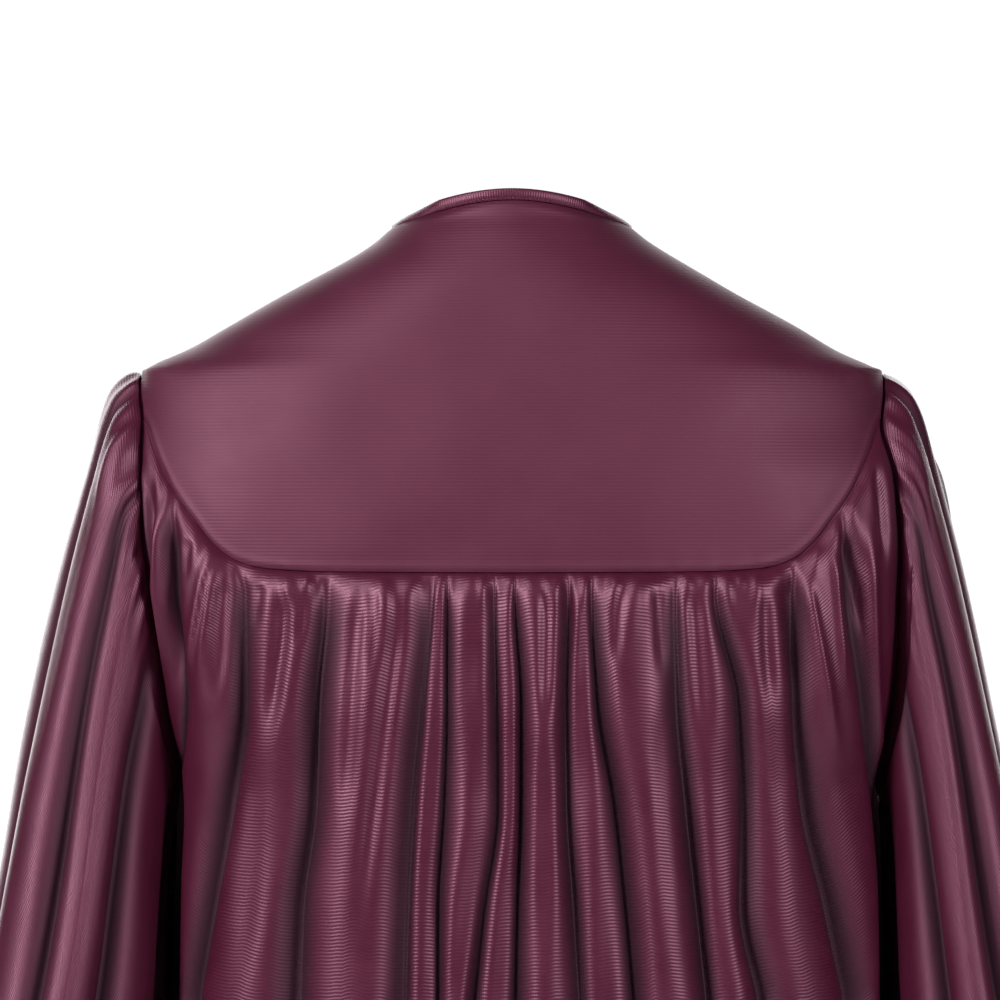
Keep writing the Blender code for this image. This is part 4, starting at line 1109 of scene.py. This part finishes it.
@dataclass
class FrontPanel:
    """One gathered front, from its side seam to the zip."""

    body: Body
    side: Side
    points_per_fold: int = 17
    row_count: int = 130
    row_power: float = 1.4
    length: float = 1.11
    unevenness: float = 0.018
    straight_drop: float = 0.450
    zip_end_drop: float = 0.800
    zip_end_blend: float = 0.020
    stitch_columns: int = 5
    stitch_past_zip: float = 0.010
    swell: float = 0.003
    broad_height: float = 0.0008
    least_turn: float = 0.012

    def places(self, name: str, sign: int) -> Grid:
        """Places of the troughs and edges, as a share of the way across, unevenly spaced."""
        troughs = column(FRONT_TROUGHS, FRONT_TROUGH_COLUMNS, name)
        uneven = self.unevenness * np.sin(2.4 * np.arange(len(troughs)) + self.side.value)
        return np.concatenate([[0.0], troughs + sign * uneven, [1.0]])

    def points(self) -> tuple[Grid, Grid]:
        """The grid, from the seam to the hem, with its columns to the left seen from outside.

        Returns:
            The points, and the painted shade: how deep each lies between the folds.
        """
        body = self.body
        sign = self.side.value
        share = row_shares(self.row_count, self.row_power, self.length)
        count = len(FRONT_FOLDS)
        places = np.linspace(0, count, count * self.points_per_fold + 1)
        across = self.places("top_place", 1)
        seam_x = body.rim_x(sign) * (1 - across) + sign * ZIP_HALF_OPENING * across
        top_x = np.interp(places, np.arange(count + 1), seam_x)
        top_drop = body.panel_top(FRONT_SEAM, top_x)
        drop = top_drop + (HEM_DROP - top_drop) * share[:, None]
        sewn = np.clip((drop - self.zip_end_drop) / self.zip_end_blend, 0.0, 1.0)
        opening = ZIP_HALF_OPENING * (1 - sewn) + SEAM_GAP / 2 * sewn
        low_share = np.interp(places, np.arange(count + 1), self.places("low_place", -1))
        level = np.clip(drop, self.straight_drop, None)
        edge = body.edge_turn(level, False, sign)
        turn = edge + (body.front_turn(sign * opening, level, sign) - edge) * low_share
        down = np.clip((drop - top_drop) / (self.straight_drop - top_drop), 0.0, 1.0)
        low_x = body.point(turn, level)[..., 0]
        straight = body.front_turn(top_x + (low_x - top_x) * down, drop, sign)
        least = body.edge_turn(drop, False, 1) + self.least_turn * places
        straight = sign * np.maximum(sign * straight, least)
        turn = np.where(drop < self.straight_drop, straight, turn)
        below = drop - top_drop
        seed = 20 + sign
        gathers = Gathers(29, *PUCKERS, seed)
        puckers = gathers.heights(top_x, below, (min(top_x[0], top_x[-1]), max(top_x[0], top_x[-1])))
        broad = waver(places * 1.0, below * 4.0, seed + 9) * self.broad_height
        height = panel_heights(FRONT_FOLDS, places, share, below, self.swell, puckers, broad)
        base = body.point(turn, drop) + height[..., None] * body.outward(turn, drop)
        base = body.with_allowance(body.beside_sleeves(base))
        # Painted shade between the folds, for the material
        painted_shade = shade(places, len(share), below)
        return (base, painted_shade) if sign > 0 else (base[:, ::-1], painted_shade[:, ::-1])

    def build(self, finish: bpy.types.Material, thread: bpy.types.Material) -> None:
        """The front, its hem stitches and the stitching beside the zip."""
        points, painted_shade = self.points()
        name = "front_" + self.side.word
        piece = cloth_object(name + "_cloth", points, cloth_uv(points), finish, painted_shade=painted_shade)
        dress(piece, name)
        hem_stitches(name + "_hem_stitches", points, thread, Slot.BODY)
        normals = grid_normals(points)
        edge = points.shape[1] - 1 if self.side is Side.LEFT else 0
        inner = abs(edge - self.stitch_columns)
        rows = points[:, inner, 2] > -self.zip_end_drop - self.stitch_past_zip
        line = (points[rows, inner], normals[rows, inner])
        Stitches(name + "_zip_stitches").build([line], thread, Slot.BODY)


@dataclass
class Yokes:
    """The smooth back yoke and the two front yokes, sewn at the shoulders."""

    body: Body
    rim_points: int = 22
    across_points: int = 110
    row_count: int = 72
    row_power: float = 1.6
    roll: float = 0.0005
    roll_place: float = 0.0035
    roll_width: float = 0.0022
    edge_tuck: float = 0.0003
    edge_tuck_length: float = 0.0008
    pull_height: float = 0.00035
    pull_length: float = 0.010
    soft_height: float = 0.0005

    def rows(self, inner: Grid, turn: Grid, drop: Grid) -> Grid:
        """Rows from the neck edge to the outer edge, closer together near the seam, tucked in there."""
        body = self.body
        t = np.linspace(0.0, 1.0, self.row_count)
        share = (1 - (1 - t) ** self.row_power)[:, None]
        neck = body.neck_drop(inner)
        turn = inner + (turn - inner) * share
        drop = neck + (drop - neck) * share
        points = body.point(turn, drop)
        length = np.linalg.norm(np.diff(points, axis=0), axis=-1)
        to_edge = np.concatenate([np.cumsum(length[::-1], axis=0)[::-1], np.zeros((1, points.shape[1]))])
        roll = self.roll * np.exp(-((to_edge - self.roll_place) / self.roll_width) ** 2)
        roll = roll - self.edge_tuck * np.exp(-to_edge / self.edge_tuck_length)
        pulls = waver(points[..., 0] / 0.010, to_edge * 8, 31) * self.pull_height
        pulls = pulls * np.exp(-to_edge / self.pull_length)
        soft = waver(points[..., 0] / 0.13, points[..., 2] / 0.12, 33, 4) * self.soft_height
        inside = smooth(to_edge / 0.02) * smooth(share / 0.12)
        height = roll + pulls * smooth(share / 0.3) + soft * inside
        return points + height[..., None] * grid_out(points)

    def back(self) -> Grid:
        """The back yoke, from neck edge to seam, between the two shoulder seams."""
        body = self.body
        end_y = float(body.armhole_depth(body.junction_drop))
        rim_turn, rim_drop = body.armhole_line(body.shoulder_seam_y, end_y, self.rim_points)
        across = np.linspace(body.rim_x(1), body.rim_x(-1), self.across_points)[1:-1]
        low_drop = body.seam_drop(BACK_SEAM, across)
        turn = np.concatenate([rim_turn, body.turn_at(across, low_drop, True), -rim_turn[::-1]])
        drop = np.concatenate([rim_drop, low_drop, rim_drop[::-1]]) - SEAM_GAP / 2
        neck = float(np.arctan2(body.section("half_width", body.neck_side_drop), body.shoulder_seam_y))
        return self.rows(np.linspace(neck, -neck, len(turn)), turn, drop)[:, ::-1]

    def front(self, side: Side) -> Grid:
        """One front yoke, from the shoulder seam to the zip."""
        body = self.body
        sign = side.value
        shoulder = body.shoulder_seam_y - SEAM_GAP
        end_y = -float(body.armhole_depth(body.junction_drop))
        rim_turn, rim_drop = body.armhole_line(shoulder, end_y, self.rim_points)
        across = np.linspace(body.rim_x(sign), sign * ZIP_HALF_OPENING, self.across_points // 2)[1:]
        low_drop = body.seam_drop(FRONT_SEAM, across)
        turn = np.concatenate([sign * rim_turn, body.front_turn(across, low_drop, sign)])
        drop = np.concatenate([rim_drop, low_drop]) - SEAM_GAP / 2
        neck = float(np.arctan2(body.section("half_width", body.neck_side_drop), shoulder))
        end = float(body.front_turn(sign * ZIP_HALF_OPENING, body.neck_drop(math.pi), sign))
        points = self.rows(np.linspace(sign * neck, end, len(turn)), turn, drop)
        points[:, -1, 0] = sign * ZIP_HALF_OPENING
        return points if sign > 0 else points[:, ::-1]

    def uv(self, points: Grid) -> Grid:
        """Metres across and straight down the cloth, so that the ribs lie level on the yoke."""
        middle = int(np.argmin(np.abs(points[-1, :, 0])))
        profile = points[:, middle]
        length = np.concatenate([[0.0], np.cumsum(np.linalg.norm(np.diff(profile, axis=0), axis=-1))])
        v = np.interp(-points[..., 2], -profile[:, 2], length)
        v = v + np.clip(-points[..., 2] + profile[-1, 2], 0, None)
        return np.stack([points[..., 0], v], axis=-1)

    def build(self, finish: bpy.types.Material) -> None:
        """The three yokes."""
        points = self.back()
        piece = cloth_object("back_yoke_cloth", points, self.uv(points), finish)
        dress(piece, "back_yoke")
        for side in Side:
            name = "front_yoke_" + side.word
            points = self.front(side)
            piece = cloth_object(name + "_cloth", points, self.uv(points), finish)
            dress(piece, name)


def grid_out(points: Grid) -> Grid:
    """Unit vectors out of a grid round the body's upright axis, whichever way its columns run."""
    out = unit(np.cross(np.gradient(points, axis=0), np.gradient(points, axis=1)))
    away = points * np.array([1.0, 1.0, 0.0]) + np.array([0.0, 0.0, 0.05])
    return out * np.where(np.sum(out * away, axis=-1, keepdims=True) < 0, -1.0, 1.0)


@dataclass
class Sleeve:
    """One bell sleeve, gathered into the armhole and open at the cuff."""

    body: Body
    side: Side
    squareness: float = 2.2
    clear: float = 0.006
    inward_hang: float = 0.045
    hang_share: float = 0.30
    allowance_back: tuple[float, ...] = (0.0060, 0.0035, 0.0012, 0.0003)
    allowance_depth: tuple[float, ...] = (0.0034, 0.0032, 0.0028, 0.0012)
    points_per_fold: int = 20
    row_count: int = 140
    row_power: float = 1.35
    length: float = 0.60
    turn_share: float = 0.5
    rim_share: float = 0.2
    clear_share: float = 0.05
    clear_below: float = 0.100
    cap_share: float = 0.025
    further_start: float = 0.05
    further_length: float = 0.45
    broad_height: float = 0.0010

    def turns(self, name: str, places: Grid) -> Grid:
        """Turns round the sleeve, in radians, at places counted in folds."""
        turns = column(SLEEVE_FOLDS, SLEEVE_FOLD_COLUMNS, name)
        known = np.concatenate([turns, [turns[0] + 360]])
        return np.radians(np.interp(places, np.arange(len(known)), known))

    def heights(self, places: Grid, along: Grid) -> Grid:
        """Height of the folds: none at the armhole's rim, quickly growing below it."""
        names = SLEEVE_FOLD_COLUMNS
        under = 1 - np.exp(-along / self.cap_share)
        further = np.clip((along - self.further_start) / self.further_length, 0, 1)
        top = column(SLEEVE_FOLDS, names, "top_height")
        low = column(SLEEVE_FOLDS, names, "low_height")
        return fold_heights(places, (top + (low - top) * further) * under)

    def points(self) -> tuple[Grid, Grid]:
        """The grid, round the sleeve from its outer line and down from the armhole to the cuff.

        Returns:
            The points, and the painted shade: how deep each lies between the folds.
        """
        body = self.body
        sign = self.side.value
        along = row_shares(self.row_count, self.row_power, self.length)[:, None]
        known = column(SLEEVE_SECTIONS, SLEEVE_COLUMNS, "along")
        size = {name: curve(known, column(SLEEVE_SECTIONS, SLEEVE_COLUMNS, name), along)
                for name in SLEEVE_COLUMNS}
        count = len(SLEEVE_FOLDS)
        places = np.arange(count * self.points_per_fold) / self.points_per_fold
        top_turn = self.turns("top_turn", places)
        low_turn = self.turns("low_turn", places)
        turn = top_turn + (low_turn - top_turn) * np.clip(along / self.turn_share, 0, 1)
        shift = sign * body.section("centre_x", size["inner_drop"])
        inner_x = body.section("half_width", size["inner_drop"]) + shift + size["inner_clear"]
        middle_x = (size["outer_x"] + inner_x) / 2
        middle_drop = (size["outer_drop"] + size["inner_drop"]) / 2
        half_x = (size["outer_x"] - inner_x) / 2
        half_drop = (size["outer_drop"] - size["inner_drop"]) / 2
        reach = np.abs(np.cos(turn)) ** self.squareness + np.abs(np.sin(turn)) ** self.squareness
        reach = reach ** (-1 / self.squareness)
        x = middle_x + half_x * reach * np.cos(turn)
        drop = middle_drop + half_drop * reach * np.cos(turn)
        y = size["centre_y"] + size["half_depth"] * reach * np.sin(turn)
        inner_front = np.clip(-np.sin(turn), 0, 1) * np.clip(-np.cos(turn), 0, 1) * 2
        x = x - self.inward_hang * inner_front * np.clip(along / self.hang_share, 0, 1)
        rim_drop = body.armhole_drop - body.armhole_half_height * np.cos(top_turn)
        rim_y = body.armhole_half_depth * np.sin(top_turn)
        rim_x = body.section("half_width", rim_drop) + sign * body.section("centre_x", rim_drop)
        rim_x = rim_x + 2 * SEAM_GAP
        fade = np.clip(1 - along / self.rim_share, 0, 1) ** 2
        x = x + (rim_x - x[0]) * fade
        drop = drop + (rim_drop - drop[0]) * fade
        y = y + (rim_y - y[0]) * fade
        grid = np.stack([x, y, -drop], axis=-1)
        around = np.roll(grid, -1, axis=1) - np.roll(grid, 1, axis=1)
        out = unit(np.cross(around, np.gradient(grid, axis=0)))
        middle = grid.mean(axis=1, keepdims=True)
        out = out * np.where(np.sum(out * (grid - middle), axis=-1, keepdims=True) < 0, -1.0, 1.0)
        below = np.concatenate([np.zeros((1, len(places))),
                                np.cumsum(np.linalg.norm(np.diff(grid, axis=0), axis=-1), axis=0)])
        height = self.heights(places, along)
        rim = np.linalg.norm(np.diff(grid[0], axis=0), axis=-1)
        rim = np.concatenate([[0.0], np.cumsum(rim)])
        outer = smooth((np.cos(top_turn) + 0.55) / 0.6)
        gathers = Gathers(34, (0.030, 0.120), (0.0030, 0.0056), (0.0018, 0.0044), 40 + sign)
        height = height + gathers.heights(rim, below, (0.0, rim[-1])) * outer
        broad = waver(places * 0.8, below * 3.0, 60 + sign) * self.broad_height
        seam_ends = smooth(np.minimum(places, count - places) / 0.5)
        height = height + broad * smooth(below / BROAD_FADE) * seam_ends
        height = height + hem_dent(below[-1:] - below) - TUCK * np.exp(-below / TUCK_LENGTH)
        points = grid + out * height[..., None]
        limit = body.beside(points[..., 1], -points[..., 2], sign, along)
        limit = limit + 3 * SEAM_GAP + self.clear * np.clip(along / self.clear_share, 0, 1)
        beside = points[..., 2] < -self.clear_below
        points[..., 0] = np.where(beside, np.maximum(points[..., 0], limit), points[..., 0])
        points = np.concatenate([self.allowance(points[0]), points])
        points[..., 0] *= sign
        # Painted shade between the folds, for the material
        painted_shade = shade(places, len(along), below)
        return (points[:, ::-1], painted_shade[:, ::-1]) if sign > 0 else (points, painted_shade)

    def allowance(self, rim: Grid) -> Grid:
        """Rows of the seam allowance, which turns into the armhole behind the panels and yokes.

        Each row is the rim moved towards the body and drawn in towards the armhole's middle.
        """
        middle = np.array([0.0, 0.0, -self.body.armhole_drop])
        inward = unit((middle - rim) * np.array([0.0, 1.0, 1.0]))
        depth = np.array(self.allowance_depth)[:, None, None]
        back = np.array(self.allowance_back)[:, None, None] * np.array([1.0, 0.0, 0.0])
        return rim - back + inward * depth

    def build(self, finish: bpy.types.Material, thread: bpy.types.Material) -> None:
        """The sleeve and its cuff stitches."""
        points, painted_shade = self.points()
        name = "sleeve_" + self.side.word
        uv = cloth_uv(points, closed=True)
        piece = cloth_object(name + "_cloth", points, uv, finish, closed=True, painted_shade=painted_shade)
        dress(piece, name)
        hem_stitches(name + "_cuff_stitches", points, thread, Slot.SLEEVE, closed=True)


@dataclass
class NeckBinding:
    """The folded strip that closes the neck edge, sewn down along its lower edge."""

    body: Body
    height: float = 0.0080
    back: float = -0.0027
    front: float = 0.0010
    lip: float = 0.0034
    lip_start: float = 0.0013
    lip_blend: float = 0.0004
    stitch_rise: float = 0.0016
    stitch_dent: float = 0.00035
    stitch_dent_width: float = 0.0006
    stitch_sink: float = 0.0002
    squareness: int = 3
    ring_count: int = 260
    round_points: int = 20

    def rings(self) -> tuple[Grid, Grid, Grid]:
        """Rings round the neck edge, with the outward and upward directions there.

        A ring is a rounded bar: a superellipse between the binding's two faces and its two edges,
        whose outer face is dented along the stitches and whose inner lower edge hangs as a lip.
        """
        body = self.body
        end = float(body.front_turn(ZIP_HALF_OPENING, body.neck_drop(math.pi), 1))
        turn = end * np.sin(np.linspace(-1, 1, self.ring_count) * math.pi / 2)
        path = body.point(turn, body.neck_drop(turn))
        along = unit(np.gradient(path, axis=0))
        down = (body.point(turn, body.neck_drop(turn) + SLOPE_STEP)
                - body.point(turn, body.neck_drop(turn) - SLOPE_STEP))
        out = unit(np.cross(along, down))
        up = np.cross(out, along)
        up = up * -np.sign(np.sum(up * down, axis=1, keepdims=True))
        angle = np.arange(self.round_points) * 2 * math.pi / self.round_points
        cos, sin = np.cos(angle), np.sin(angle)
        reach = (np.abs(cos) ** self.squareness + np.abs(sin) ** self.squareness) ** (-1 / self.squareness)
        rise = (self.height + SEAM_GAP) / 2 + (self.height - SEAM_GAP) / 2 * reach * sin
        push = (self.front + self.back) / 2 + (self.front - self.back) / 2 * reach * cos
        dent = np.exp(-((rise - self.stitch_rise) / self.stitch_dent_width) ** 2) * (cos > 0)
        push = push - self.stitch_dent * dent
        behind = smooth((-push - self.lip_start) / self.lip_blend)
        rise = rise - self.lip * behind * np.clip(-2 * sin, 0, 1)
        rings = path[:, None] + up[:, None] * rise[:, None] + out[:, None] * push[:, None]
        side = np.sign(turn)[:, None]
        rings[..., 0] = np.where(side * rings[..., 0] < SEAM_GAP, side * SEAM_GAP, rings[..., 0])
        return rings, out, path + up * self.stitch_rise + out * (self.front - self.stitch_sink)

    def build(self, finish: bpy.types.Material, thread: bpy.types.Material) -> None:
        """The binding, with its ribs across it, and its row of stitches."""
        rings, out, line = self.rings()
        cols = rings.shape[1]
        path = rings.mean(axis=1)
        v = np.concatenate([[0.0], np.cumsum(np.linalg.norm(np.diff(path, axis=0), axis=1))])
        u = np.arange(cols + 1) * (2 * (self.height + self.front - self.back) / cols)
        uv = np.stack(np.broadcast_arrays(u[None], v[:, None]), axis=-1)
        corners = np.concatenate([grid_corners(uv), np.zeros(4 * cols)])
        piece = add_bars("neck_binding_cloth", rings[None], finish, corners)
        dress(piece, "neck_binding")
        stitches = Stitches("neck_binding_stitches", pitch=0.0028, length=0.0020)
        stitches.build([(line, out)], thread, Slot.BINDING)


@dataclass
class Zip:
    """The coil zip in the centre front: its tape, two rows of coils, slider and pull tab."""

    body: Body
    top_drop: float = 0.1460
    low_drop: float = 0.7920
    half_width: float = 0.0028
    front: float = 0.0002
    back: float = -0.0016
    tape_front: float = -0.0009
    tape_rings: int = 160
    pitch: float = 0.0016
    wire: float = 0.00032
    tooth_root: float = 0.0019
    tooth_past_middle: float = 0.0004
    tooth_out: float = -0.00035
    tooth_half_depth: float = 0.00032
    tooth_half_rise: float = 0.00018
    tooth_rings: int = 6
    rounding: float = 0.00022

    def centre(self, drop: Grid) -> Grid:
        """Points of the front's surface in the middle plane."""
        points = self.body.point(self.body.front_turn(0.0, drop, 1), drop)
        return points * np.array([0.0, 1.0, 1.0])

    def tape(self) -> Grid:
        """Rings of the tape, a flat strip behind the coils, from the top to the low end."""
        path = self.centre(np.linspace(self.top_drop, self.low_drop, self.tape_rings))
        across = np.array([-1, -0.5, 0, 0.5, 1, 1, 0.5, 0, -0.5, -1]) * self.half_width
        out = np.repeat([self.tape_front, self.back], 5)
        return path[:, None] + np.stack([across, -out, np.zeros(10)], axis=-1)

    def coils(self) -> Grid:
        """The wire's rings of each coil tooth: a loop from the tape's edge over the middle and back.

        A tooth is half an ellipse in the level plane, from its root to a little past the middle, and
        teeth alternate between the two sides by half a pitch.
        """
        count = int((self.low_drop - self.top_drop) / self.pitch)
        drop = self.top_drop + (np.arange(2 * count) + 0.5) * self.pitch / 2
        side = np.where(np.arange(2 * count) % 2 == 0, 1.0, -1.0)
        turn = np.linspace(-math.pi / 2, math.pi / 2, self.tooth_rings)
        length = self.tooth_root + self.tooth_past_middle
        across = side[:, None] * (self.tooth_root - length * np.cos(turn))
        out = self.tooth_out + self.tooth_half_depth * np.sin(turn)
        rise = self.tooth_half_rise * np.sin(turn)
        centre = self.centre(drop)
        path = np.stack([across, centre[:, 1:2] - out, centre[:, 2:3] + rise + 0 * across], axis=-1)
        along = unit(np.gradient(path, axis=1))
        up = np.array([0.0, 0.0, 1.0])
        width = unit(np.cross(along, up))
        ring = np.arange(4) * math.pi / 2 + math.pi / 4
        return (path[:, :, None] + width[:, :, None] * (np.cos(ring) * self.wire)[:, None]
                + up * (np.sin(ring) * self.wire)[:, None])

    def build(self, coil: bpy.types.Material, tape: bpy.types.Material, metal: bpy.types.Material) -> None:
        """The tape and coils, and the rounded slider and pull tab over their plain solids."""
        piece = add_bars("zip_tape", self.tape()[None], tape, smoothed=False)
        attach(piece, "robe")
        teeth = self.coils()
        piece = add_bars("zip_coils", teeth, coil)
        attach(piece, "robe")
        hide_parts("zip_chain")
        for name, body in (("zip_slider", "robe"), ("zip_pull_tab", "pull_tab")):
            self.rounded(name, body, metal)
        LOG.info("zip: %d coil teeth", len(teeth))

    def rounded(self, name: str, body: str, metal: bpy.types.Material) -> None:
        """A cast metal piece with its edges rounded, over the plain solid of that name."""
        solid = next(o for o in bpy.context.scene.objects if o.get("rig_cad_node") == name)
        mesh = solid.data.copy()
        work = bmesh.new()
        work.from_mesh(mesh)
        bmesh.ops.remove_doubles(work, verts=work.verts, dist=1e-5)
        bmesh.ops.dissolve_limit(work, angle_limit=math.radians(1), verts=work.verts, edges=work.edges)
        work.to_mesh(mesh)
        work.free()
        mesh.materials.clear()
        mesh.materials.append(metal)
        mesh.shade_smooth()
        piece = bpy.data.objects.new(name + "_cast", mesh)
        bpy.context.scene.collection.objects.link(piece)
        bevel = piece.modifiers.new("rounding", "BEVEL")
        bevel.width = self.rounding
        bevel.segments = 3
        bevel.limit_method = "ANGLE"
        bevel.angle_limit = math.radians(35)
        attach(piece, body)
        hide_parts(name)


@dataclass(frozen=True)
class PatternedFinish:
    """A finish whose colour and relief both follow one fine pattern in object space."""

    name: str
    low: str
    high: str
    ends: tuple[float, float]
    roughness: float
    bump: tuple[float, float]
    metallic: float = 0.0

    def pattern(self, tree: bpy.types.NodeTree, place: Any) -> Any:
        """The pattern's value, which each finish draws in its own way."""
        raise NotImplementedError

    def material(self) -> bpy.types.Material:
        """The node material: a ramp from the low to the high colour, and a bump by strength and height."""
        made, tree, shader = new_finish(self.name)
        value = self.pattern(tree, node(tree, "ShaderNodeTexCoord").outputs["Object"])
        ramp = node(tree, "ShaderNodeValToRGB", {"Fac": value})
        for element, position, colour in zip(ramp.color_ramp.elements, self.ends, (self.low, self.high)):
            element.position = position
            element.color = linear(colour)
        strength, distance = self.bump
        bump = node(tree, "ShaderNodeBump", {"Height": value, "Strength": strength, "Distance": distance})
        tree.links.new(ramp.outputs["Color"], shader.inputs["Base Color"])
        tree.links.new(bump.outputs["Normal"], shader.inputs["Normal"])
        shader.inputs["Metallic"].default_value = self.metallic
        shader.inputs["Roughness"].default_value = self.roughness
        return made


@dataclass(frozen=True)
class SpunThread(PatternedFinish):
    """Spun polyester sewing thread: dull, a shade off the cloth, with a fine twist."""

    twist_mm: float = 0.7
    waves_per_scale: float = 0.314

    def pattern(self, tree: bpy.types.NodeTree, place: Any) -> Any:
        """The twist, as a slanted wave."""
        scale = self.waves_per_scale * 1000 / self.twist_mm
        return node(tree, "ShaderNodeTexWave", {"Vector": place, "Scale": scale, "Distortion": 0.5},
                    bands_direction="DIAGONAL").outputs["Fac"]


@dataclass(frozen=True)
class GrainedFinish(PatternedFinish):
    """Dyed nylon, extruded or woven, or enamelled die-cast zinc, with a noise as its grain."""

    grain_mm: float = 1.0
    detail: float = 3.0

    def pattern(self, tree: bpy.types.NodeTree, place: Any) -> Any:
        """The grain."""
        return noise(tree, place, self.grain_mm, Detail=self.detail)


@dataclass(frozen=True)
class SoftBox:
    """A rectangular area light that points at the robe's chest height."""

    name: str
    place: tuple[float, float, float]
    size: tuple[float, float]
    power: float

    def build(self, target: Vector) -> None:
        """The light, turned to the target."""
        data = bpy.data.lights.new(self.name, "AREA")
        data.shape = "RECTANGLE"
        data.size, data.size_y = self.size
        data.energy = self.power
        light = bpy.data.objects.new(self.name, data)
        light.location = self.place
        light.rotation_euler = (target - Vector(self.place)).to_track_quat("-Z", "Y").to_euler()
        bpy.context.scene.collection.objects.link(light)


@dataclass
class Studio:
    """A pale floor, a white surround, soft boxes and the photograph's level view of the back."""

    floor_z: float = -1.45
    floor_radius: float = 7.0
    view_width: float = 0.6375
    view_centre: tuple[float, float] = (0.0077, -0.1849)
    view_plane_y: float = 0.060
    distance: float = 3.0
    sensor: float = 36.0
    aim: tuple[float, float, float] = (0.0, 0.0, -0.35)
    floor_points: int = 64
    floor_fade: tuple[float, float] = (1.4, 3.2)
    light_strength: float = 0.08
    seen_strength: float = 1.02
    boxes: tuple[SoftBox, ...] = field(default_factory=lambda: (
        SoftBox("left box", (2.2, 2.2, 0.75), (0.70, 1.10), 115.0),
        SoftBox("right box", (-2.0, 2.3, 0.60), (0.70, 1.10), 84.0),
        SoftBox("far left box", (3.0, 1.1, 0.90), (1.80, 1.80), 30.0),
        SoftBox("high left box", (1.1, 1.7, 2.2), (1.2, 0.8), 45.0),
        SoftBox("front left box", (1.0, -2.9, 0.40), (2.40, 2.40), 84.0),
        SoftBox("front right box", (-0.9, -2.9, 0.40), (2.40, 2.40), 60.0),
    ))

    def floor(self) -> None:
        """A pale round floor whose rim fades into the white surround."""
        turn = np.arange(self.floor_points) * 2 * math.pi / self.floor_points
        rim = np.stack([np.cos(turn), np.sin(turn), 0 * turn], axis=-1) * self.floor_radius
        rim[:, 2] = self.floor_z
        face = [list(range(self.floor_points))]
        plane = add_mesh("floor", rim, face, self.floor_finish(), outwards=False, smoothed=False)

    def floor_finish(self) -> bpy.types.Material:
        """Pale matte paper, clear towards the rim."""
        made, tree, shader = new_finish("pale seamless paper")
        shader.inputs["Base Color"].default_value = linear("#f2f1ef")
        shader.inputs["Roughness"].default_value = 0.9
        place = node(tree, "ShaderNodeTexCoord").outputs["Object"]
        flat = node(tree, "ShaderNodeVectorMath", {0: place, 1: (1.0, 1.0, 0.0)}, operation="MULTIPLY")
        reach = node(tree, "ShaderNodeVectorMath", {0: flat.outputs[0]}, operation="LENGTH")
        start, end = self.floor_fade
        clear = node(tree, "ShaderNodeMapRange",
                     {"Value": reach.outputs["Value"], "From Min": start, "From Max": end,
                      "To Min": 1.0, "To Max": 0.0},
                     interpolation_type="SMOOTHSTEP")
        tree.links.new(clear.outputs["Result"], shader.inputs["Alpha"])
        return made

    def surround(self) -> None:
        """A white background for the camera, and a dimmer one that lights the robe."""
        world = bpy.data.worlds.new("surround")
        bpy.context.scene.world = world
        world.use_nodes = True
        tree = world.node_tree
        tree.nodes.clear()
        seen = node(tree, "ShaderNodeLightPath").outputs["Is Camera Ray"]
        strength = node(tree, "ShaderNodeMapRange",
                        {"Value": seen, "To Min": self.light_strength, "To Max": self.seen_strength})
        back = node(tree, "ShaderNodeBackground",
                    {"Color": (1.0, 1.0, 1.0, 1.0), "Strength": strength.outputs["Result"]})
        node(tree, "ShaderNodeOutputWorld", {"Surface": back.outputs["Background"]})

    def camera(self) -> None:
        """A level camera behind the robe, framed as in the photograph."""
        data = bpy.data.cameras.new("camera")
        data.sensor_width = self.sensor
        data.lens = self.sensor * self.distance / self.view_width
        data.clip_end = 100
        camera = bpy.data.objects.new("camera", data)
        x, z = self.view_centre
        camera.location = (x, self.view_plane_y + self.distance, z)
        camera.rotation_euler = (math.pi / 2, 0.0, math.pi)
        bpy.context.scene.collection.objects.link(camera)
        bpy.context.scene.camera = camera

    def build(self) -> None:
        """The whole studio, with plain display colours."""
        self.camera()
        self.floor()
        self.surround()
        for box in self.boxes:
            box.build(Vector(self.aim))
        bpy.context.scene.view_settings.view_transform = "Standard"


def main() -> None:
    logging.basicConfig(level=logging.INFO, format="%(name)s: %(message)s")
    Studio().build()
    body = Body()
    yoke_cloth = RibbedTricot("taut polyester tricot", roughness=0.58, rib_height_mm=0.05,
                              gloss_level=0.5).material()
    body_cloth = RibbedTricot("gathered polyester tricot").material()
    sleeve_cloth = RibbedTricot("sleeve polyester tricot").material()
    binding_cloth = RibbedTricot("binding polyester tricot", roughness=0.42, rib_mm=1.6).material()
    thread = SpunThread("spun polyester thread", "#4a1029", "#6a2140", ends=(0.0, 1.0), roughness=0.55,
                        bump=(0.6, 0.00008)).material()
    Yokes(body).build(yoke_cloth)
    BackPanel(body).build(body_cloth, thread)
    for side in Side:
        FrontPanel(body, side).build(body_cloth, thread)
        Sleeve(body, side).build(sleeve_cloth, thread)
    NeckBinding(body).build(binding_cloth, thread)
    # Dyed nylon, extruded for the coil: a soft gloss, slightly uneven
    coil = GrainedFinish("extruded nylon coil", "#3d0e22", "#5b1b36", ends=(0.3, 0.7), roughness=0.38,
                         bump=(0.5, 0.00012), grain_mm=0.6).material()
    # Dyed nylon, woven for the tape: matt, with the weave's fine texture
    tape = GrainedFinish("woven nylon tape", "#340b1c", "#4d142c", ends=(0.3, 0.7), roughness=0.75,
                         bump=(0.5, 0.0001), grain_mm=0.5).material()
    # Die-cast zinc under baked maroon enamel: glossy, with small worn spots and a slight orange peel
    metal = GrainedFinish("enamelled die-cast zinc", "#5a1a34", "#8f6a70", ends=(0.62, 0.78),
                          roughness=0.30, bump=(0.15, 0.0002), metallic=0.55, grain_mm=10 / 9,
                          detail=4.0).material()
    Zip(body).build(coil, tape, metal)


if __name__ == "__main__":
    main()
